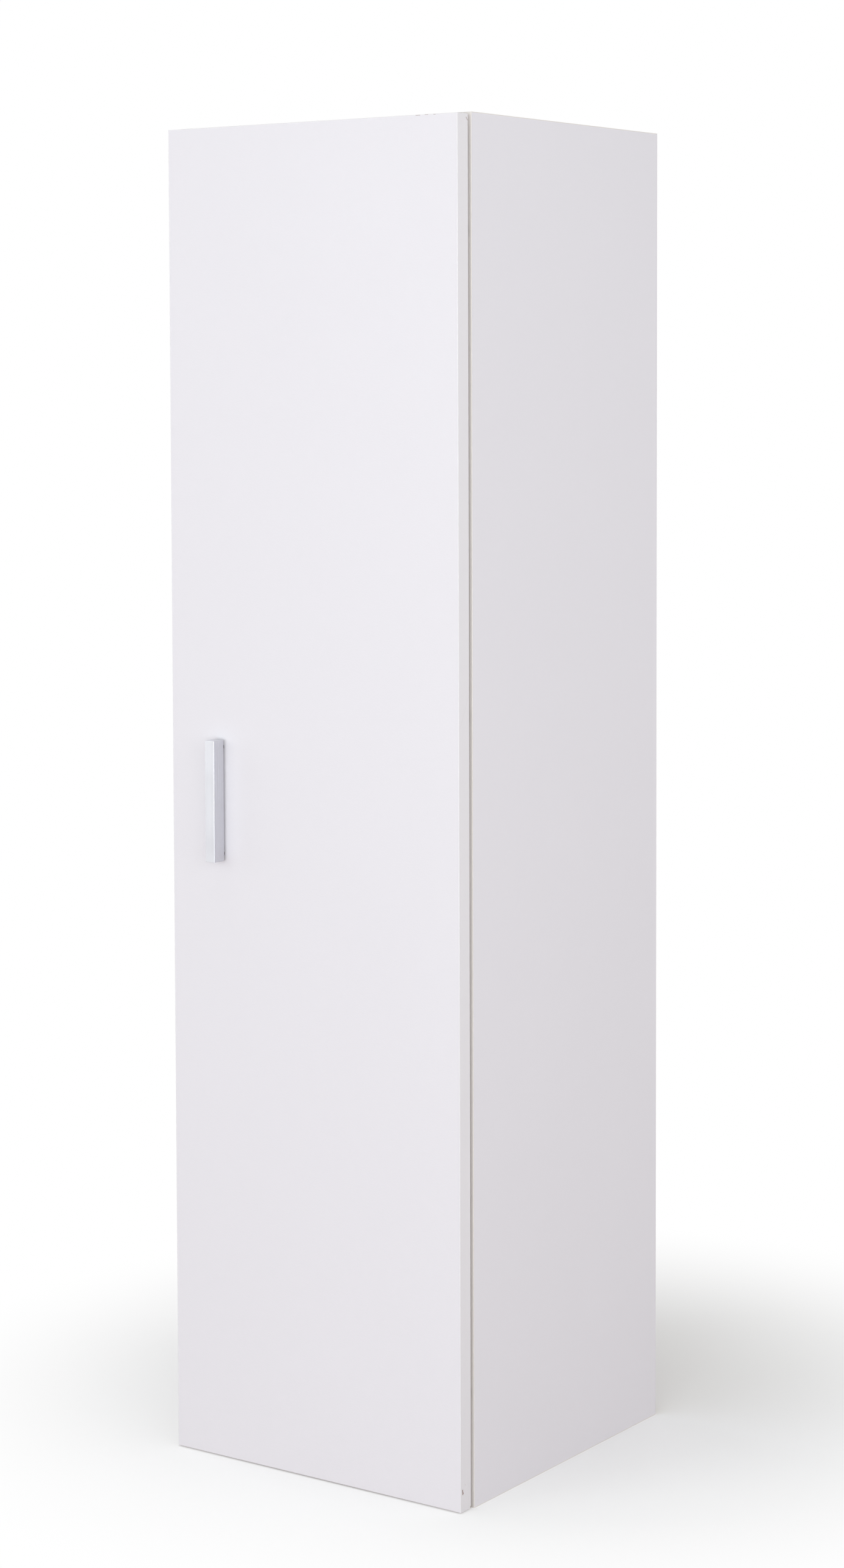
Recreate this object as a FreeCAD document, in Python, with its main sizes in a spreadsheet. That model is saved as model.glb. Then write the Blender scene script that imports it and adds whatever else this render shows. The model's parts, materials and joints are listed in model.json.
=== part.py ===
import FreeCAD, Part
import os
import re

import Sketcher

# Wall-hung bathroom cabinet: a flat-pack board carcass with one door on concealed single-pivot hinges.
# +Z is up, the front faces -Y, the wall is the plane y = 0, and the origin lies on the wall plane
# midway between the two upper wall screws. The door is hinged on the right (+X).

# Driving dimensions, in millimetres. Radii of holes are a shank's radius plus a named clearance.
DIMENSIONS = {
    # Carcass: outside sizes of the boards, and the board they are cut from
    "width": 315,
    "height": 1200,
    "depth": 305,
    "board": 16,
    "band": 0.6,
    "band_ease": 0.35,
    # Back panel in its grooves, and the two rails behind it that the wall screws go through
    "back_thickness": 3,
    "groove_depth": 7,
    "groove_clearance": 0.1,
    "groove_end_gap": 0.5,
    "rail_thickness": 16,
    "rail_height": 80,
    "wall_screw_spacing": 200,
    "wall_screw_hole_radius": 3,
    "back_hole_clearance": 0.5,
    # Shelves and their pins
    "shelf_setback": 5,
    "shelf_side_gap": 0.8,
    "shelf_back_gap": 0.3,
    "pin_radius": 2.5,
    "pin_depth": 9,
    "pin_tongue": 9,
    "pin_width": 8,
    "pin_metal": 1.5,
    "pin_plate": 11,
    "pin_from_edge": 37,
    "pin_pitch": 32,
    # Cam locks, cam bolts and dowels
    "cam_radius": 7.5,
    "cam_over_axis": 4,
    "cam_setback": 24,
    "cam_from_front": 50,
    "cam_from_back": 60,
    "cam_slot_length": 9,
    "cam_slot_width": 1.4,
    "cam_slot_depth": 1.5,
    "cam_channel_clearance": 0.4,
    "cam_channel_reach": 4,
    "bolt_thread_radius": 2.4,
    "bolt_thread_length": 11,
    "bolt_shank_radius": 3.4,
    "bolt_neck_radius": 2,
    "bolt_head_radius": 3.3,
    "bolt_head_length": 3,
    "bolt_bore_clearance": 0.6,
    "dowel_radius": 4,
    "dowel_in_side": 11,
    "dowel_in_board": 19,
    "dowel_spacing": 32,
    "rail_fastener_offset": 20,
    "fit_clearance": 0.1,
    "blind_clearance": 0.5,
    # Door
    "door_gap": 3.2,
    "door_thickness": 16,
    "door_side_inset": 1,
    "door_top_inset": 2,
    "door_bottom_inset": 1,
    "bumper_radius": 4,
    "bumper_clearance": 0.3,
    "bumper_from_end": 40,
    # Handle
    "handle_width": 10,
    "handle_depth": 14,
    "handle_overhang": 6.5,
    "handle_centres": 96,
    "handle_standoff": 2,
    "handle_chamfer": 0.6,
    "handle_from_edge": 55,
    "spacer_radius": 4,
    "handle_screw_radius": 2,
    "handle_screw_grip": 8,
    "handle_screw_clearance": 0.3,
    "handle_screw_head_radius": 4.2,
    "handle_screw_head_height": 2.6,
    # Hinges: the cup is placed from the door's hinge edge, and the pivot lies inside the cup
    "hinge_from_end": 100,
    "hinge_above_shelf": 80,
    "pivot_radius": 1.5,
    "pivot_clearance": 0.05,
    "cup_tab": 2.8,
    "cup_radius": 17.5,
    "cup_depth": 13,
    "cup_floor_clearance": 0.25,
    "cup_wall": 0.8,
    "flange_overlap": 1,
    "flange_thickness": 1.2,
    "wing_half_length": 30,
    "wing_width": 13,
    "wing_offset": 6,
    "wing_screw_offset": 24,
    "wing_screw_radius": 1.9,
    "wing_screw_length": 11,
    "wing_screw_head_radius": 3.6,
    "wing_screw_head_height": 1.8,
    "spring_thickness": 0.6,
    "spring_width": 6,
    "spring_tip_reach": 1.3,
    "spring_eye_gap": 0.2,
    "spring_wall_gap": 0.8,
    "spring_rise": 9,
    "neck_thickness": 2.6,
    "neck_width": 9,
    "neck_bend": 2.6,
    "neck_inner_bend": 1.2,
    "eye_radius": 2.8,
    "eye_wall_gap": 1,
    "notch_side_gap": 1,
    "arm_width": 17,
    "arm_front": 10,
    "arm_rear": 62,
    "arm_rib_thickness": 1.4,
    "arm_rib_height": 3,
    "plate_thickness": 3,
    "plate_length": 48,
    "plate_front": 14,
    "plate_foot_width": 20,
    "plate_foot_half_length": 25,
    "plate_screw_setback": 37,
    "plate_screw_offset": 16,
    "plate_screw_radius": 2.3,
    "plate_screw_length": 11,
    "plate_screw_head_radius": 3.8,
    "plate_screw_head_height": 1.8,
    "arm_screw_radius": 2,
    "arm_screw_head_radius": 3.6,
    "arm_screw_head_height": 2.2,
    "arm_screw_setback": 50,
    "adjuster_setback": 22,
    "adjuster_height": 5.5,
    "driver_slot_width": 1,
    "driver_slot_depth": 1,
}

# Planes of the cabinet, as expressions of the driving dimensions
TOP = "(board + rail_height / 2)"
BOTTOM = f"({TOP} - height)"
INNER = "(width / 2 - board)"
INNER_WIDTH = "(width - 2 * board)"
FRONT = "(-depth)"
BACK_PANEL_FRONT = "(-rail_thickness - back_thickness)"
DOOR_BACK = "(-depth - door_gap)"
DOOR_FRONT = f"({DOOR_BACK} - door_thickness)"
DOOR_RIGHT = "(width / 2 - door_side_inset)"
DOOR_BOTTOM = f"({BOTTOM} + door_bottom_inset)"
DOOR_HEIGHT = "(height - door_bottom_inset - door_top_inset)"

# Four equal compartments between the bottom, the three shelves and the top
COMPARTMENT = "((height - 5 * board) / 4)"
LOWER_SHELF = f"({BOTTOM} + board + {COMPARTMENT})"
FIXED_SHELF = f"({LOWER_SHELF} + board + {COMPARTMENT})"
UPPER_SHELF = f"({FIXED_SHELF} + board + {COMPARTMENT})"
SHELF_DEPTH = f"(depth - shelf_setback + {BACK_PANEL_FRONT} - shelf_back_gap)"

# Width of a cam's channel round the bolt's head, and the bolt's bore in the boards
CAM_CHANNEL = "(2 * (bolt_head_radius + cam_channel_clearance))"
BOLT_BORE = "(bolt_shank_radius + bolt_bore_clearance)"

# Centre heights of the two rails; the upper one is at the origin's height
UPPER_RAIL = "0"
LOWER_RAIL = f"({BOTTOM} + board + rail_height / 2)"

# Hinge places: the cup's centre, its two wing screws, the pivot's axis beside the cup's wall and above
# the spring on its floor, the pin's reach across the cup, and the heights of the three hinges
CUP_X = f"({DOOR_RIGHT} - cup_tab - cup_radius)"
WING_X = f"({CUP_X} - wing_offset)"
CUP_BORE = "(cup_radius - cup_wall)"
CUP_FLOOR = f"({DOOR_BACK} - cup_depth + cup_wall)"
PIVOT_OFFSET = f"({CUP_BORE} - eye_wall_gap - eye_radius)"
PIVOT_X = f"({CUP_X} + {PIVOT_OFFSET})"
PIVOT_Y = f"({CUP_FLOOR} + spring_thickness + spring_eye_gap + eye_radius)"
PIN_HALF_LENGTH = f"sqrt(cup_radius ^ 2 - ({PIVOT_OFFSET} + pivot_radius) ^ 2)"
NECK_REACH = f"({PIVOT_X} - {INNER} + plate_thickness + neck_thickness / 2)"
HINGES = {
    "upper": f"({TOP} - hinge_from_end)",
    "middle": f"({FIXED_SHELF} + board + hinge_above_shelf)",
    "lower": f"({BOTTOM} + hinge_from_end)",
}
HANDLE_X = f"(-{DOOR_RIGHT} + handle_from_edge)"
HANDLE_Z = f"({BOTTOM} + height / 2)"

# Rotations that carry a cylinder's own axis, +Z, to each direction
DIRECTIONS = {
    "+X": FreeCAD.Rotation(FreeCAD.Vector(0, 1, 0), 90),
    "-X": FreeCAD.Rotation(FreeCAD.Vector(0, 1, 0), -90),
    "+Y": FreeCAD.Rotation(FreeCAD.Vector(1, 0, 0), -90),
    "-Y": FreeCAD.Rotation(FreeCAD.Vector(1, 0, 0), 90),
    "+Z": FreeCAD.Rotation(),
}
INTO_SIDE = {-1: "-X", 1: "+X"}
INTO_BOARD = {-1: "+X", 1: "-X"}

# Places of a shelf pin's row above and below the pin itself, in steps of the pitch
PIN_STEPS = range(-2, 3)

# A sub-part of less than this, in cubic millimetres, counts as empty
SMALLEST_VOLUME = 1e-6

doc = FreeCAD.newDocument("bathroom_cabinet")
sheet = doc.addObject("Spreadsheet::Sheet", "dims")
for row, (alias, value) in enumerate(DIMENSIONS.items(), start=1):
    sheet.set(f"A{row}", alias)
    sheet.set(f"B{row}", str(value))
    sheet.setAlias(f"B{row}", alias)
doc.recompute()
nodes = {}


def cells(text):
    """Turns the names of driving dimensions in an expression into the sheet's cells."""
    def cell(word):
        name = word.group()
        return f"dims.{name}" if name in DIMENSIONS else name

    return re.sub(r"[a-z_]+", cell, text)


def value_of(text):
    """The present value of an expression, in millimetres."""
    return float(sheet.evalExpression(cells(text)))


def bind(item, **expressions):
    """Binds properties of an object to expressions of the driving dimensions."""
    for name, text in expressions.items():
        item.setExpression(name, cells(text))
    return item


def place(item, x, y, z):
    """Binds an object's position."""
    for letter, text in zip("xyz", (x, y, z)):
        item.setExpression(f"Placement.Base.{letter}", cells(text))
    return item


def box(length, width, height, x, y, z):
    """A box from its lowest corner."""
    item = doc.addObject("Part::Box", "box")
    bind(item, Length=length, Width=width, Height=height)
    return place(item, x, y, z)


def rod(radius, length, x, y, z, along):
    """A cylinder from the centre of its first face, along one of the six directions."""
    item = doc.addObject("Part::Cylinder", "rod")
    item.Placement = FreeCAD.Placement(FreeCAD.Vector(), DIRECTIONS[along])
    bind(item, Radius=radius, Height=length)
    return place(item, x, y, z)


def profile(points, length, x, y, z, along="+Z"):
    """A body padded from an outline whose corners are pairs of expressions.

    The outline lies in X and Y and is padded along +Z. Along +X, its first axis points down instead.
    """
    body = doc.addObject("PartDesign::Body", "body")
    sketch = body.newObject("Sketcher::SketchObject", "outline")
    plane = next(feature for feature in body.Origin.OriginFeatures if feature.Role == "XY_Plane")
    sketch.AttachmentSupport = [(plane, "")]
    sketch.MapMode = "FlatFace"
    corners = [FreeCAD.Vector(value_of(first), value_of(second), 0) for first, second in points]
    for start, end in zip(corners, corners[1:] + corners[:1]):
        sketch.addGeometry(Part.LineSegment(start, end))
    for index, corner in enumerate(points):
        following = (index + 1) % len(points)
        sketch.addConstraint(Sketcher.Constraint("Coincident", index, 2, following, 1))
        for kind, text in zip(("DistanceX", "DistanceY"), corner):
            constraint = sketch.addConstraint(Sketcher.Constraint(kind, -1, 1, index, 1, value_of(text)))
            name = f"{kind.lower()}_{index}"
            sketch.renameConstraint(constraint, name)
            sketch.setExpression(f"Constraints.{name}", cells(text))
    pad = body.newObject("PartDesign::Pad", "pad")
    pad.Profile = sketch
    bind(pad, Length=length)
    body.Placement = FreeCAD.Placement(FreeCAD.Vector(), DIRECTIONS[along])
    return place(body, x, y, z)


def eased_band(thickness, length, x, y, z, along, outward):
    """A band on an edge of the given board thickness, with the two corners of its outer face eased.

    The position is the corner of the edge's front and low (or left) ends, on the outer face; outward is
    the direction of that face along the outline's first axis (1 or -1), or its second axis ("front").
    """
    if outward == "front":
        outline = [
            ("0", "band"),
            ("0", "band_ease"),
            ("band_ease", "0"),
            (f"{thickness} - band_ease", "0"),
            (thickness, "band_ease"),
            (thickness, "band"),
        ]
    else:
        outline = [
            (f"{-outward} * band", "0"),
            (f"{-outward} * band_ease", "0"),
            ("0", "band_ease"),
            ("0", f"{thickness} - band_ease"),
            (f"{-outward} * band_ease", thickness),
            (f"{-outward} * band", thickness),
        ]
    return profile(outline, length, x, y, z, along)


def group(items):
    """Several objects as one compound of separate solids."""
    item = doc.addObject("Part::Compound", "group")
    item.Links = items
    return item


def fuse(items):
    """Several objects joined into one solid."""
    item = doc.addObject("Part::MultiFuse", "fuse")
    item.Shapes = items
    item.Refine = True
    return item


def cut(base, tools):
    """An object with the tools taken out of it."""
    item = doc.addObject("Part::Cut", "cut")
    item.Base = base
    item.Tool = group(tools)
    item.Refine = True
    return item


def node(label, item):
    """Keeps an object as a sub-part, under the name of its file."""
    item.Label = label
    nodes[label] = item


def signed(side, text):
    """An expression for the left (-1) or the right (1) of the cabinet."""
    return f"({side} * {text})"


def cam_height(board):
    """Height of a cam for a board: from its face to a little past the bolt in the middle."""
    return f"({board} / 2 + cam_over_axis)"


def board_fasteners():
    """Places of the cam joints and dowels of the top, the bottom and the fixed shelf.

    Each is a side, a depth, a height and whether it is a cam joint.
    """
    places = []
    for underside in (f"({TOP} - board)", FIXED_SHELF, BOTTOM):
        middle = f"({underside} + board / 2)"
        for side in (-1, 1):
            places.append((side, "(-depth + cam_from_front)", middle, True))
            places.append((side, "(-depth + cam_from_front + dowel_spacing)", middle, False))
            places.append((side, "(-cam_from_back - dowel_spacing)", middle, False))
            places.append((side, "(-cam_from_back)", middle, True))
    return places


def rail_fasteners():
    """Places of the cam joints and dowels of the two rails, in the same form."""
    places = []
    for middle in (UPPER_RAIL, LOWER_RAIL):
        for side in (-1, 1):
            places.append((side, "(-rail_thickness / 2)", f"({middle} + rail_fastener_offset)", True))
            places.append((side, "(-rail_thickness / 2)", f"({middle} - rail_fastener_offset)", False))
    return places


def shelf_pin_places(underside):
    """Places of one shelf's pins: a side, a depth and the height of the pin's axis."""
    axis = f"({underside} - pin_metal - pin_radius)"
    depths = ("(-depth + pin_from_edge)", f"({BACK_PANEL_FRONT} - pin_from_edge)")
    return [(side, y, axis) for side in (-1, 1) for y in depths]


def side_holes(side):
    """Everything bored or cut into a side panel's inner face."""
    inner = signed(side, INNER)
    groove_x = INNER if side > 0 else f"(-{INNER} - groove_depth)"
    tools = [
        box(
            "groove_depth",
            "back_thickness + 2 * groove_clearance",
            "height",
            groove_x,
            f"{BACK_PANEL_FRONT} - groove_clearance",
            BOTTOM,
        )
    ]
    for place_side, y, z, is_cam in board_fasteners() + rail_fasteners():
        if place_side != side:
            continue
        radius = "bolt_thread_radius + fit_clearance" if is_cam else "dowel_radius + fit_clearance"
        depth = "bolt_thread_length" if is_cam else "dowel_in_side"
        tools.append(rod(radius, f"{depth} + blind_clearance", inner, y, z, INTO_SIDE[side]))
    for underside in (LOWER_SHELF, UPPER_SHELF):
        for place_side, y, z in shelf_pin_places(underside):
            if place_side != side:
                continue
            for step in PIN_STEPS:
                height = f"{z} + {step} * pin_pitch"
                depth = "pin_depth + blind_clearance"
                tools.append(rod("pin_radius + fit_clearance", depth, inner, y, height, INTO_SIDE[side]))
    if side > 0:
        for hinge in HINGES.values():
            for end in (-1, 1):
                z = f"{hinge} + {end} * plate_screw_offset"
                depth = "plate_screw_length + blind_clearance"
                radius = "plate_screw_radius + fit_clearance"
                tools.append(rod(radius, depth, inner, "-depth + plate_screw_setback", z, "+X"))
    return tools


def side_panel(side, name):
    """A side panel, and the bands on its front edge and its two ends."""
    outer = "-width / 2" if side < 0 else INNER
    core_front = "-depth + band"
    core_depth = "depth - band"
    blank = box("board", core_depth, "height - 2 * band", outer, core_front, f"{BOTTOM} + band")
    node(f"{name}_side_panel", cut(blank, side_holes(side)))
    front = eased_band("board", "height", outer, FRONT, BOTTOM, "+Z", "front")
    ends = [box("board", core_depth, "band", outer, core_front, z) for z in (BOTTOM, f"{TOP} - band")]
    node(f"{name}_side_edge_bands", group([front] + ends))


def end_bores(middle):
    """Bores in the two ends of a board, and the cam bores in its underside."""
    tools = []
    for side, y, z, is_cam in board_fasteners():
        if z != middle:
            continue
        end = signed(side, INNER)
        if is_cam:
            tools.append(rod(BOLT_BORE, "cam_setback", end, y, z, INTO_BOARD[side]))
            cam_x = signed(side, f"({INNER} - cam_setback)")
            radius = "cam_radius + fit_clearance"
            depth = f"{cam_height('board')} + blind_clearance"
            tools.append(rod(radius, depth, cam_x, y, f"{z} - board / 2", "+Z"))
        else:
            length = "dowel_in_board + blind_clearance"
            tools.append(rod("dowel_radius + fit_clearance", length, end, y, z, INTO_BOARD[side]))
    return tools


def horizontal_boards():
    """The top, the bottom and the fixed shelf, each with its front band."""
    width = INNER_WIDTH
    groove_y = f"{BACK_PANEL_FRONT} - groove_clearance"
    groove_width = "back_thickness + 2 * groove_clearance"
    groove_heights = {"top_panel": f"{TOP} - board", "bottom_panel": f"{BOTTOM} + board - groove_depth"}
    undersides = {"top_panel": f"({TOP} - board)", "bottom_panel": BOTTOM, "fixed_shelf": FIXED_SHELF}
    for name, underside in undersides.items():
        tools = end_bores(f"({underside} + board / 2)")
        if name in groove_heights:
            blank = box(width, "depth - band", "board", f"-{INNER}", "-depth + band", underside)
            groove_z = groove_heights[name]
            tools.append(box(width, groove_width, "groove_depth", f"-{INNER}", groove_y, groove_z))
            front = FRONT
        else:
            front = "-depth + shelf_setback"
            blank = box(width, f"{SHELF_DEPTH} - band", "board", f"-{INNER}", f"{front} + band", underside)
        node(name, cut(blank, tools))
        top_edge = f"{underside} + board"
        node(f"{name}_edge_band", eased_band("board", width, f"-{INNER}", front, top_edge, "+X", "front"))


def adjustable_shelves():
    """The two loose shelves, their front bands and the angled pins that carry them."""
    length = f"{INNER_WIDTH} - 2 * shelf_side_gap"
    left = f"-{INNER} + shelf_side_gap"
    front = "-depth + shelf_setback"
    for name, underside in (("upper", UPPER_SHELF), ("lower", LOWER_SHELF)):
        blank = box(length, f"{SHELF_DEPTH} - band", "board", left, f"{front} + band", underside)
        node(f"{name}_shelf", blank)
        top_edge = f"{underside} + board"
        node(f"{name}_shelf_edge_band", eased_band("board", length, left, front, top_edge, "+X", "front"))
        pins = [shelf_pin(side, y, axis) for side, y, axis in shelf_pin_places(underside)]
        node(f"{name}_shelf_pins", group(pins))


def shelf_pin(side, y, axis):
    """A pressed pin: a peg in the panel, a plate against it and a tongue under the shelf."""
    plate_x = f"({INNER} - pin_metal)" if side > 0 else f"(-{INNER})"
    tongue_x = f"({INNER} - pin_tongue)" if side > 0 else f"(-{INNER})"
    low_y = f"{y} - pin_width / 2"
    tongue_z = f"{axis} + pin_radius"
    peg = rod("pin_radius", "pin_depth", signed(side, INNER), y, axis, INTO_SIDE[side])
    tongue = box("pin_tongue", "pin_width", "pin_metal", tongue_x, low_y, tongue_z)
    plate_z = f"{tongue_z} + pin_metal - pin_plate"
    plate = box("pin_metal", "pin_width", "pin_plate", plate_x, low_y, plate_z)
    return fuse([peg, tongue, plate])


def back_and_rails():
    """The back panel in its grooves, and the rails behind it, all drilled for the wall screws."""
    reach = "(groove_depth - groove_end_gap)"
    length = f"{INNER_WIDTH} + 2 * {reach}"
    tall = f"height - 2 * board + 2 * {reach}"
    left = f"-{INNER} - {reach}"
    back = box(length, "back_thickness", tall, left, BACK_PANEL_FRONT, f"{BOTTOM} + board - {reach}")
    back_holes = []
    for name, middle in (("upper", UPPER_RAIL), ("lower", LOWER_RAIL)):
        rail_low = f"{middle} - rail_height / 2"
        rail = box(INNER_WIDTH, "rail_thickness", "rail_height", f"-{INNER}", "-rail_thickness", rail_low)
        tools = []
        for side in (-1, 1):
            x = signed(side, "wall_screw_spacing / 2")
            radius = "wall_screw_hole_radius"
            tools.append(rod(radius, "rail_thickness", x, "-rail_thickness", middle, "+Y"))
            radius = "wall_screw_hole_radius + back_hole_clearance"
            back_holes.append(rod(radius, "back_thickness", x, BACK_PANEL_FRONT, middle, "+Y"))
        for side, y, z, is_cam in rail_fasteners():
            if not z.startswith(f"({middle} "):
                continue
            end = signed(side, INNER)
            if is_cam:
                cam_x = signed(side, f"({INNER} - cam_setback)")
                depth = f"{cam_height('rail_thickness')} + blind_clearance"
                tools.append(rod(BOLT_BORE, "cam_setback", end, y, z, INTO_BOARD[side]))
                tools.append(rod("cam_radius + fit_clearance", depth, cam_x, "0", z, "-Y"))
            else:
                depth = "dowel_in_board + blind_clearance"
                tools.append(rod("dowel_radius + fit_clearance", depth, end, y, z, INTO_BOARD[side]))
        node(f"{name}_hanging_rail", cut(rail, tools))
    node("back_panel", cut(back, back_holes))


def cam_lock(side, y, z, in_rail):
    """A cam's disc, less the channel for the bolt's head and the cross slot in its face.

    A board's cam lies in its underside and reaches up; a rail's lies in its back and reaches forward.
    """
    x = signed(side, f"({INNER} - cam_setback)")
    channel_x = f"{x} - cam_radius" if side < 0 else f"{x} - cam_channel_reach"
    channel_length = "cam_radius + cam_channel_reach"
    channel_depth = f"cam_over_axis + {CAM_CHANNEL} / 2"
    channel_z = f"{z} - {CAM_CHANNEL} / 2"
    depth = "cam_slot_depth"
    arms = (("cam_slot_length", "cam_slot_width"), ("cam_slot_width", "cam_slot_length"))
    if in_rail:
        height = cam_height("rail_thickness")
        disc = rod("cam_radius", height, x, "0", z, "-Y")
        tools = [box(channel_length, channel_depth, CAM_CHANNEL, channel_x, f"-{height}", channel_z)]
        for length, width in arms:
            tools.append(box(length, depth, width, f"{x} - {length} / 2", f"-{depth}", f"{z} - {width} / 2"))
    else:
        face = f"({z} - board / 2)"
        disc = rod("cam_radius", cam_height("board"), x, y, face, "+Z")
        channel_y = f"{y} - {CAM_CHANNEL} / 2"
        tools = [box(channel_length, CAM_CHANNEL, channel_depth, channel_x, channel_y, channel_z)]
        for length, width in arms:
            tools.append(box(length, width, depth, f"{x} - {length} / 2", f"{y} - {width} / 2", face))
    return cut(disc, tools)


def cam_bolt(side, y, z):
    """A bolt screwed into the side panel, whose headed end lies in the cam."""
    panel = signed(side, INNER)
    shank_end = signed(side, f"({INNER} - cam_setback + cam_radius)")
    head_end = signed(side, f"({INNER} - cam_setback + bolt_head_length / 2)")
    inward = INTO_BOARD[side]
    return fuse([
        rod("bolt_thread_radius", "bolt_thread_length", panel, y, z, INTO_SIDE[side]),
        rod("bolt_shank_radius", "cam_setback - cam_radius", panel, y, z, inward),
        rod("bolt_neck_radius", "cam_radius", shank_end, y, z, inward),
        rod("bolt_head_radius", "bolt_head_length", head_end, y, z, inward),
    ])


def carcass_fasteners():
    """The cam locks, cam bolts and dowels, each kind as one group."""
    cams = []
    bolts = []
    dowels = []
    for places, in_rail in ((board_fasteners(), False), (rail_fasteners(), True)):
        for side, y, z, is_cam in places:
            if is_cam:
                cams.append(cam_lock(side, y, z, in_rail))
                bolts.append(cam_bolt(side, y, z))
            else:
                start = signed(side, f"({INNER} + dowel_in_side)")
                length = "dowel_in_side + dowel_in_board"
                dowels.append(rod("dowel_radius", length, start, y, z, INTO_BOARD[side]))
    node("cam_locks", group(cams))
    node("cam_bolts", group(bolts))
    node("wood_dowels", group(dowels))


def door():
    """The door board with its bores, the bands on its four edges and the two bumpers."""
    left = f"(-{DOOR_RIGHT})"
    core = box(
        f"2 * {DOOR_RIGHT} - 2 * band",
        "door_thickness",
        f"{DOOR_HEIGHT} - 2 * band",
        f"{left} + band",
        DOOR_FRONT,
        f"{DOOR_BOTTOM} + band",
    )
    tools = []
    for hinge in HINGES.values():
        depth = "cup_depth + cup_floor_clearance"
        tools.append(rod("cup_radius + fit_clearance", depth, CUP_X, DOOR_BACK, hinge, "-Y"))
        for end in (-1, 1):
            z = f"{hinge} + {end} * wing_screw_offset"
            radius = "wing_screw_radius + fit_clearance"
            depth = "wing_screw_length + blind_clearance"
            tools.append(rod(radius, depth, WING_X, DOOR_BACK, z, "-Y"))
    for z in handle_screw_heights():
        radius = "handle_screw_radius + handle_screw_clearance"
        tools.append(rod(radius, "door_thickness", HANDLE_X, DOOR_BACK, z, "-Y"))
    node("door_panel", cut(core, tools))
    uprights = [
        eased_band("door_thickness", DOOR_HEIGHT, edge, DOOR_FRONT, DOOR_BOTTOM, "+Z", side)
        for side, edge in ((-1, left), (1, DOOR_RIGHT))
    ]
    length = f"2 * {DOOR_RIGHT} - 2 * band"
    ends = [
        eased_band("door_thickness", length, f"{left} + band", DOOR_FRONT, z, "+X", outward)
        for z, outward in ((DOOR_BOTTOM, 1), (f"{DOOR_BOTTOM} + {DOOR_HEIGHT}", -1))
    ]
    node("door_edge_bands", group(uprights + ends))
    bumper_x = "-width / 2 + board / 2"
    bumpers = [
        rod("bumper_radius", "door_gap - bumper_clearance", bumper_x, DOOR_BACK, z, "+Y")
        for z in (f"{BOTTOM} + bumper_from_end", f"{TOP} - bumper_from_end")
    ]
    node("door_bumpers", group(bumpers))


def handle_screw_heights():
    """Heights of the handle's two screws."""
    return [f"({HANDLE_Z} + {end} * handle_centres / 2)" for end in (-1, 1)]


def handle():
    """The bar with its chamfered front edges, the spacers behind it and the screws through the door."""
    half = "handle_width / 2"
    face = "(-handle_depth)"
    outline = [
        (f"-{half}", "0"),
        (f"-{half}", f"{face} + handle_chamfer"),
        (f"-{half} + handle_chamfer", face),
        (f"{half} - handle_chamfer", face),
        (half, f"{face} + handle_chamfer"),
        (half, "0"),
    ]
    bar_back = f"({DOOR_FRONT} - handle_standoff)"
    length = "handle_centres + 2 * handle_overhang"
    bar = profile(outline, length, HANDLE_X, bar_back, f"{HANDLE_Z} - handle_centres / 2 - handle_overhang")
    tap_radius = "handle_screw_radius + fit_clearance / 2"
    taps = []
    spacers = []
    screws = []
    for z in handle_screw_heights():
        depth = "handle_screw_grip + blind_clearance"
        taps.append(rod(tap_radius, depth, HANDLE_X, bar_back, z, "-Y"))
        ring = rod("spacer_radius", "handle_standoff", HANDLE_X, DOOR_FRONT, z, "-Y")
        hole = rod(tap_radius, "handle_standoff", HANDLE_X, DOOR_FRONT, z, "-Y")
        spacers.append(cut(ring, [hole]))
        reach = "door_thickness + handle_standoff + handle_screw_grip"
        shank = rod("handle_screw_radius", reach, HANDLE_X, DOOR_BACK, z, "-Y")
        head = rod("handle_screw_head_radius", "handle_screw_head_height", HANDLE_X, DOOR_BACK, z, "+Y")
        slot = box(
            "2 * handle_screw_head_radius",
            "driver_slot_depth",
            "driver_slot_width",
            f"{HANDLE_X} - handle_screw_head_radius",
            f"{DOOR_BACK} + handle_screw_head_height - driver_slot_depth",
            f"{z} - driver_slot_width / 2",
        )
        screws.append(cut(fuse([shank, head]), [slot]))
    node("handle_bar", cut(bar, taps))
    node("handle_spacers", group(spacers))
    node("handle_screws", group(screws))


def hinge_cup(z):
    """The cup in the door with its flange and wings, open towards the cabinet."""
    wing_x = f"{WING_X} - wing_width / 2"
    wing_z = f"{z} - wing_half_length"
    body = fuse([
        rod("cup_radius", "cup_depth", CUP_X, DOOR_BACK, z, "-Y"),
        rod("cup_radius + flange_overlap", "flange_thickness", CUP_X, DOOR_BACK, z, "+Y"),
        box("wing_width", "flange_thickness", "2 * wing_half_length", wing_x, DOOR_BACK, wing_z),
    ])
    notch = "neck_width + 2 * notch_side_gap"
    notch_z = f"{z} - neck_width / 2 - notch_side_gap"
    pin_low = f"{z} - {PIN_HALF_LENGTH}"
    tools = [
        rod(CUP_BORE, "cup_depth - cup_wall + flange_thickness", CUP_X, CUP_FLOOR, z, "+Y"),
        rod("pivot_radius + pivot_clearance", f"2 * {PIN_HALF_LENGTH}", PIVOT_X, PIVOT_Y, pin_low, "+Z"),
        box("cup_radius + flange_overlap", "flange_thickness", notch, CUP_X, DOOR_BACK, notch_z),
    ]
    for end in (-1, 1):
        screw_z = f"{z} + {end} * wing_screw_offset"
        radius = "wing_screw_radius + fit_clearance"
        tools.append(rod(radius, "flange_thickness", WING_X, DOOR_BACK, screw_z, "+Y"))
    return cut(body, tools)


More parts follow.
